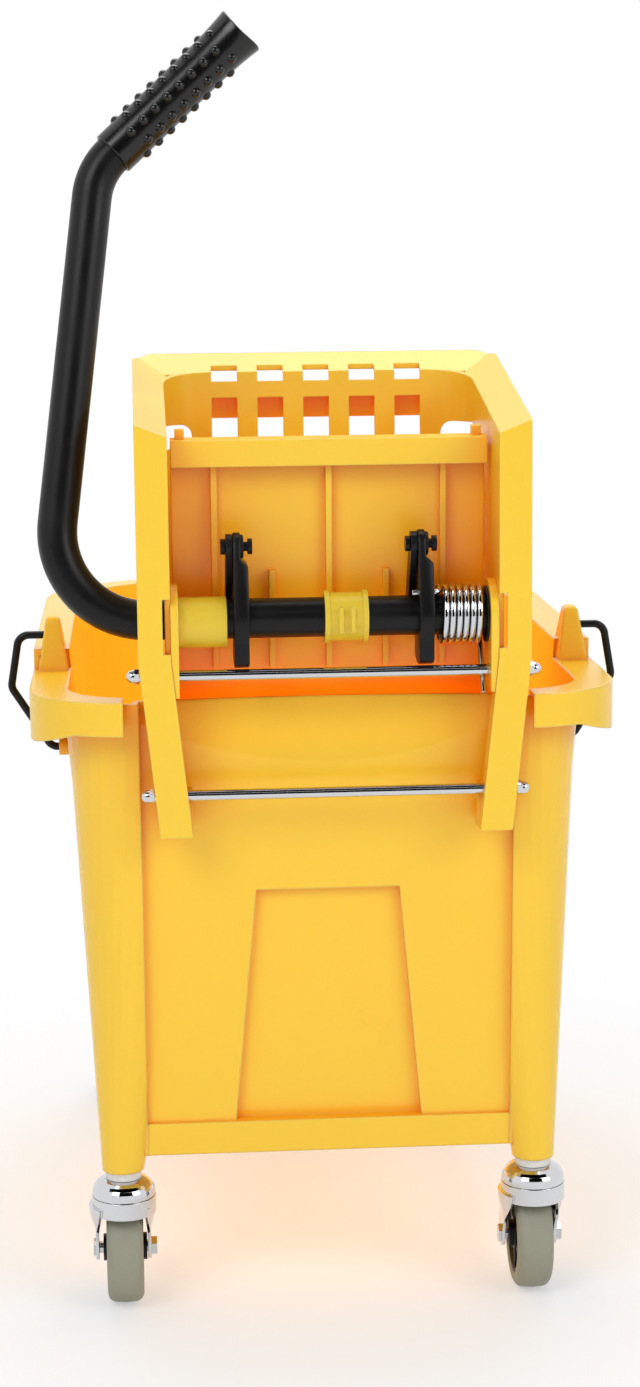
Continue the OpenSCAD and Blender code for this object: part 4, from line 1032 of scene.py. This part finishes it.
@dataclass
class Grip(OnShaft):
    """Rubber grip at the handle's end, flared and scooped out there, with raised nubs."""

    bend_x: float = 118.0
    bend_r: float = 56.0
    arm_lean: float = 7.2
    arm_l: float = 208.0
    top_r: float = 45.0
    top_bend: float = 39.5
    arm_tilt: float = 10.0
    grip_d: float = 29.4
    grip_l: float = 115.0
    tube_r: float = 12.7
    bore_r: float = 12.75
    foot_edge: float = 0.7
    flare_l: float = 34.0
    flare_out: float = 2.0
    lip_edge: float = 0.8
    mouth_floor: float = 7.5
    mouth_depth: float = 3.6
    plug_t: float = 7.5
    turn_steps: int = 56
    nub_d: float = 6.2
    nub_h: float = 2.4
    nub_fillet: float = 0.4
    nub_sunk: float = 0.6
    nub_steps: int = 12
    nub_pitch: float = 10.6
    nub_start: float = 16.4
    # How far every second row of nubs is set on, as a share of the pitch
    nub_stagger_share: float = 0.5
    nubs_long: int = 8
    nubs_round: int = 8

    def axis(self) -> tuple[Vector, Vector, Vector, Vector]:
        """Find the grip's foot and the directions along it, across its plane and in its plane.

        Returns:
            Foot point, direction along the grip, plane normal, and direction across the grip in its plane.
        """
        lean, top = math.radians(self.arm_lean), math.radians(self.arm_lean + self.top_bend)
        x = -self.bend_x - self.bend_r * math.cos(lean) + self.arm_l * math.sin(lean)
        h = self.bend_r * (1 + math.sin(lean)) + self.arm_l * math.cos(lean)
        x += self.top_r * (math.cos(lean) - math.cos(top))
        h += self.top_r * (math.sin(top) - math.sin(lean))
        tilt = math.radians(self.arm_tilt)
        up = Vector((0, math.sin(tilt), math.cos(tilt)))
        across = Vector((1, 0, 0))
        foot = in_wringer(x, self.shaft_y, self.shaft_z) + up * h * MM
        along = across * math.sin(top) + up * math.cos(top)
        return foot, along, across.cross(up), across * math.cos(top) - up * math.sin(top)

    def sleeve(self) -> None:
        """Turn the sleeve, widen it towards its end and scoop the end out front and back."""
        foot, along, normal, aside = self.axis()
        r, end = self.grip_d / 2, self.grip_l
        floor = end - self.mouth_floor
        outline = [(0, floor), (self.tube_r, floor), (self.tube_r, end)]
        outline += [(r + self.flare_out - self.lip_edge, end)]
        for i in range(ARC_STEPS + 1):
            share = i / ARC_STEPS
            flare = self.flare_out * (1 - share) ** 2
            outline.append((r + flare, end - self.lip_edge - self.flare_l * share))
        outline += [(r, self.foot_edge), (r - self.foot_edge, 0), (self.bore_r, 0)]
        outline += [(self.bore_r, floor - self.plug_t), (0, floor - self.plug_t)]
        sleeve = lathe("flared_grip", outline, self.turn_steps, ring=False)
        for spot in sleeve.data.vertices:
            if spot.co.z > (end - 2 * self.lip_edge) * MM:
                share = spot.co.y / ((r + self.flare_out) * MM)
                spot.co.z -= self.mouth_depth * MM * (1 - share**2)
        turn = Matrix((normal, aside, along)).transposed().to_4x4()
        sleeve.data.transform(Matrix.Translation(foot) @ turn)
        if turn.determinant() < 0:
            sleeve.data.flip_normals()
        sleeve.data.materials.append(Finishes.RUBBER.value.material())
        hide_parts("hand_grip")
        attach(sleeve, "handle")
        LOG.info("built %s", sleeve.name)

    def nub(self) -> bpy.types.Object:
        """Turn one nub, a low dome on a fillet.

        Returns:
            The nub, with the grip's surface at the origin and its dome up.
        """
        r, foot_r = self.nub_d / 2, self.nub_d / 2 + self.nub_fillet
        dome = [(r * c, self.nub_h * h) for c, h in rounded(0, 0, 1, 0, 90)]
        outline = [(0, -self.nub_sunk), (foot_r, -self.nub_sunk), (foot_r, 0)]
        outline += [(r, self.nub_fillet)] + dome[1:-1] + [(0, self.nub_h)]
        return lathe("nub_pattern", outline, self.nub_steps, ring=False)

    def nubs(self) -> None:
        """Repeat the nub round and along the grip."""
        foot, along, normal, aside = self.axis()
        pattern = self.nub()
        nubs = []
        for k in range(self.nubs_round):
            a = 2 * math.pi * k / self.nubs_round
            out = normal * math.cos(a) + aside * math.sin(a)
            turn = Matrix((along.cross(out), along, out)).transposed().to_4x4()
            for row in range(self.nubs_long):
                s = self.nub_start + (row + self.nub_stagger_share * (k % 2)) * self.nub_pitch
                spot = foot + along * s * MM + out * self.grip_d / 2 * MM
                nubs.append(stamp(pattern, "grip_nub", Matrix.Translation(spot) @ turn))
        bpy.data.objects.remove(pattern)
        made = join(nubs, "grip_nubs")
        made.data.materials.append(Finishes.RUBBER.value.material())
        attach(made, "handle")
        LOG.info("built %s", made.name)

    def build(self) -> None:
        """Make the sleeve and its nubs."""
        self.sleeve()
        self.nubs()


@dataclass(frozen=True)
class DarkCard:
    """A black card that only shiny surfaces see, in metres, tipped up from lying flat by degrees."""

    name: str
    place: tuple[float, float, float]
    size: tuple[float, float]
    tip: float
    colour: str = "#050505"
    finish: str = "black_card"

    def material(self) -> bpy.types.Material:
        """Build the matt black, or hand back the one built before.

        Returns:
            The card's material.
        """
        found = bpy.data.materials.get(self.finish)
        if found:
            return found
        made = bare_material(self.finish)
        matt = add_node(made.node_tree, "ShaderNodeBsdfDiffuse", {"Color": linear(self.colour)})
        add_node(made.node_tree, "ShaderNodeOutputMaterial", {"Surface": matt.outputs["BSDF"]})
        return made

    def hang(self) -> None:
        """Hang the card and hide it from all but mirrored rays."""
        deselect_all()
        turn = (math.radians(self.tip), 0, 0)
        bpy.ops.mesh.primitive_plane_add(size=1, location=self.place, rotation=turn)
        card = bpy.context.object
        card.name = self.name
        card.scale = (*self.size, 1)
        card.visible_camera = False
        card.visible_diffuse = False
        card.visible_shadow = False
        card.data.materials.append(self.material())


@dataclass(frozen=True)
class Lamp:
    """A soft lamp that the camera doesn't see, in metres and watts."""

    name: str
    place: tuple[float, float, float]
    aim: tuple[float, float, float]
    size: tuple[float, float]
    watts: float
    colour: str = PURE_WHITE
    mirrored: bool = True

    def hang(self) -> None:
        """Hang the lamp and turn it to what it lights."""
        data = bpy.data.lights.new(self.name, "AREA")
        data.shape = "RECTANGLE"
        data.size, data.size_y = self.size
        data.energy = self.watts
        data.color = linear(self.colour)[:3]
        obj = add_object(self.name, data)
        obj.location = self.place
        way = Vector(self.aim) - Vector(self.place)
        obj.rotation_euler = way.to_track_quat("-Z", "Y").to_euler()
        obj.visible_camera = False
        obj.visible_glossy = self.mirrored


@dataclass
class Studio:
    """Pale floor, soft light and the camera of the photograph, in millimetres and degrees."""

    eye: tuple[float, float, float] = (-118.0, -1892.5, 700.0)
    pitch: float = 9.62
    yaw: float = 3.95
    roll: float = 0.6
    sensor_mm: float = 36.0
    focal_px: float = 2600.0
    image_px: tuple[int, int] = (640, 1387)
    floor_m: float = 14.0
    floor_colour: str = "#FAFAFA"
    floor_glow: float = 0.45
    shadow_m: tuple[float, float] = (0.25, 0.7)
    surround: float = 0.42
    surround_colour: str = "#F6F8FF"

    # Dark ground in front and above, which gives the chrome its black streaks
    CARDS: ClassVar[tuple[DarkCard, ...]] = (
        DarkCard("front_card", place=(-0.1, -3.0, 1.5), size=(5.0, 2.2), tip=90),
        DarkCard("upper_card", place=(-0.1, -1.9, 3.2), size=(5.0, 2.6), tip=0),
    )
    # Three large lamps for the whole, and small warm ones for light that passes through the plastic
    LAMPS: ClassVar[tuple[Lamp, ...]] = (
        Lamp("key_light", place=(-1.5, -2.2, 2.3), aim=(0, 0, 0.4), size=(1.4, 1.4), watts=31.5),
        Lamp("fill_light", place=(1.9, -1.9, 1.7), aim=(0, 0, 0.4), size=(1.4, 1.4), watts=21),
        Lamp("top_light", place=(0.0, 0.9, 2.6), aim=(0, -0.15, 0.45), size=(1.8, 1.8), watts=38),
        Lamp(
            "tub_light", place=(0.0, 0.0, 0.16), aim=(0, -0.1, 1), size=(0.2, 0.2), watts=0.85,
            colour="#FFC060",
        ),
        Lamp(
            "plate_light", place=(0.004, -0.232, 0.385), aim=(0.004, -0.229, 0.6), size=(0.2, 0.012),
            watts=0.035, colour="#FFC050", mirrored=False,
        ),
        Lamp(
            "low_light", place=(0.0, -2.4, 0.75), aim=(0, -0.25, 0.5), size=(0.9, 0.9), watts=4.5,
            mirrored=False,
        ),
        Lamp(
            "floor_light", place=(0.0, -0.05, 0.1), aim=(0, -0.05, 0), size=(0.3, 0.3), watts=0.17,
            colour="#FFAE20",
        ),
    )

    def camera(self) -> None:
        """Set the camera where the photograph was taken."""
        data = bpy.data.cameras.new("photo_camera")
        data.sensor_width = self.sensor_mm
        data.lens = self.focal_px / max(self.image_px) * data.sensor_width
        obj = add_object("photo_camera", data)
        turn = (
            Matrix.Rotation(math.radians(-self.yaw), 4, "Z")
            @ Matrix.Rotation(math.radians(90 - self.pitch), 4, "X")
            @ Matrix.Rotation(math.radians(-self.roll), 4, "Z")
        )
        obj.matrix_world = Matrix.Translation(Vector(self.eye) * MM) @ turn
        bpy.context.scene.camera = obj

    @staticmethod
    def seen_directly(tree: bpy.types.NodeTree) -> bpy.types.NodeSocket:
        """Tell the rays that see the background itself from those that only light the object.

        Args:
            tree: The node tree that takes the nodes.

        Returns:
            A socket that is one for camera, glossy and transmission rays and zero for the rest.
        """
        path = add_node(tree, "ShaderNodeLightPath").outputs
        seen = path["Is Camera Ray"]
        for kind in ("Is Glossy Ray", "Is Transmission Ray"):
            either = add_node(tree, "ShaderNodeMath", {0: seen, 1: path[kind]}, operation="MAXIMUM")
            seen = either.outputs[0]
        return seen

    def floor(self) -> None:
        """Lay a pale floor that keeps the shadow near the object and fades to white further out."""
        deselect_all()
        bpy.ops.mesh.primitive_plane_add(size=self.floor_m)
        plane = bpy.context.object
        plane.name = "floor"
        made = bare_material("pale_floor")
        tree = made.node_tree
        seen = self.seen_directly(tree)
        place = add_node(tree, "ShaderNodeTexCoord").outputs["Object"]
        reach = add_node(tree, "ShaderNodeVectorMath", {0: place}, operation="LENGTH").outputs["Value"]
        fade = add_node(
            tree,
            "ShaderNodeMapRange",
            {"Value": reach, **dict(zip(LIMITS, (*self.shadow_m, self.floor_glow, 1.0)))},
            interpolation_type="SMOOTHSTEP",
        )
        share = add_node(tree, "ShaderNodeMath", {0: seen, 1: fade.outputs[0]}, operation="MULTIPLY")
        matt = add_node(tree, "ShaderNodeBsdfDiffuse", {"Color": linear(self.floor_colour)})
        glow = add_node(tree, "ShaderNodeEmission", {"Color": linear(PURE_WHITE), "Strength": 1.0})
        mix = add_node(
            tree,
            "ShaderNodeMixShader",
            {0: share.outputs[0], 1: matt.outputs["BSDF"], 2: glow.outputs["Emission"]},
        )
        add_node(tree, "ShaderNodeOutputMaterial", {"Surface": mix.outputs["Shader"]})
        plane.data.materials.append(made)

    def world(self) -> None:
        """Light the scene with a soft white surround."""
        world = bpy.data.worlds.new("white_surround")
        bpy.context.scene.world = world
        world.use_nodes = True
        tree = world.node_tree
        tree.nodes.clear()
        lit = add_node(
            tree, "ShaderNodeBackground", {"Color": linear(self.surround_colour), "Strength": self.surround}
        )
        white = add_node(tree, "ShaderNodeBackground", {"Color": linear(PURE_WHITE), "Strength": 1.0})
        mix = add_node(
            tree,
            "ShaderNodeMixShader",
            {0: self.seen_directly(tree), 1: lit.outputs["Background"], 2: white.outputs["Background"]},
        )
        add_node(tree, "ShaderNodeOutputWorld", {"Surface": mix.outputs["Shader"]})

    def build(self) -> None:
        """Make the camera, floor and light."""
        bpy.context.scene.view_settings.view_transform = "Standard"
        self.camera()
        self.floor()
        self.world()
        for piece in self.CARDS + self.LAMPS:
            piece.hang()
        LOG.info("set the studio")


def main() -> None:
    """Build every piece in order."""
    logging.basicConfig(level=logging.INFO, format="%(name)s: %(message)s")
    Studio().build()
    Bucket().dress()
    for assembly in (Casters(), Wringer()):
        assembly.dress()
        assembly.build()
    for fitting in (CrankLevers(), TorsionSpring(), Grip()):
        fitting.build()


if __name__ == "__main__":
    main()
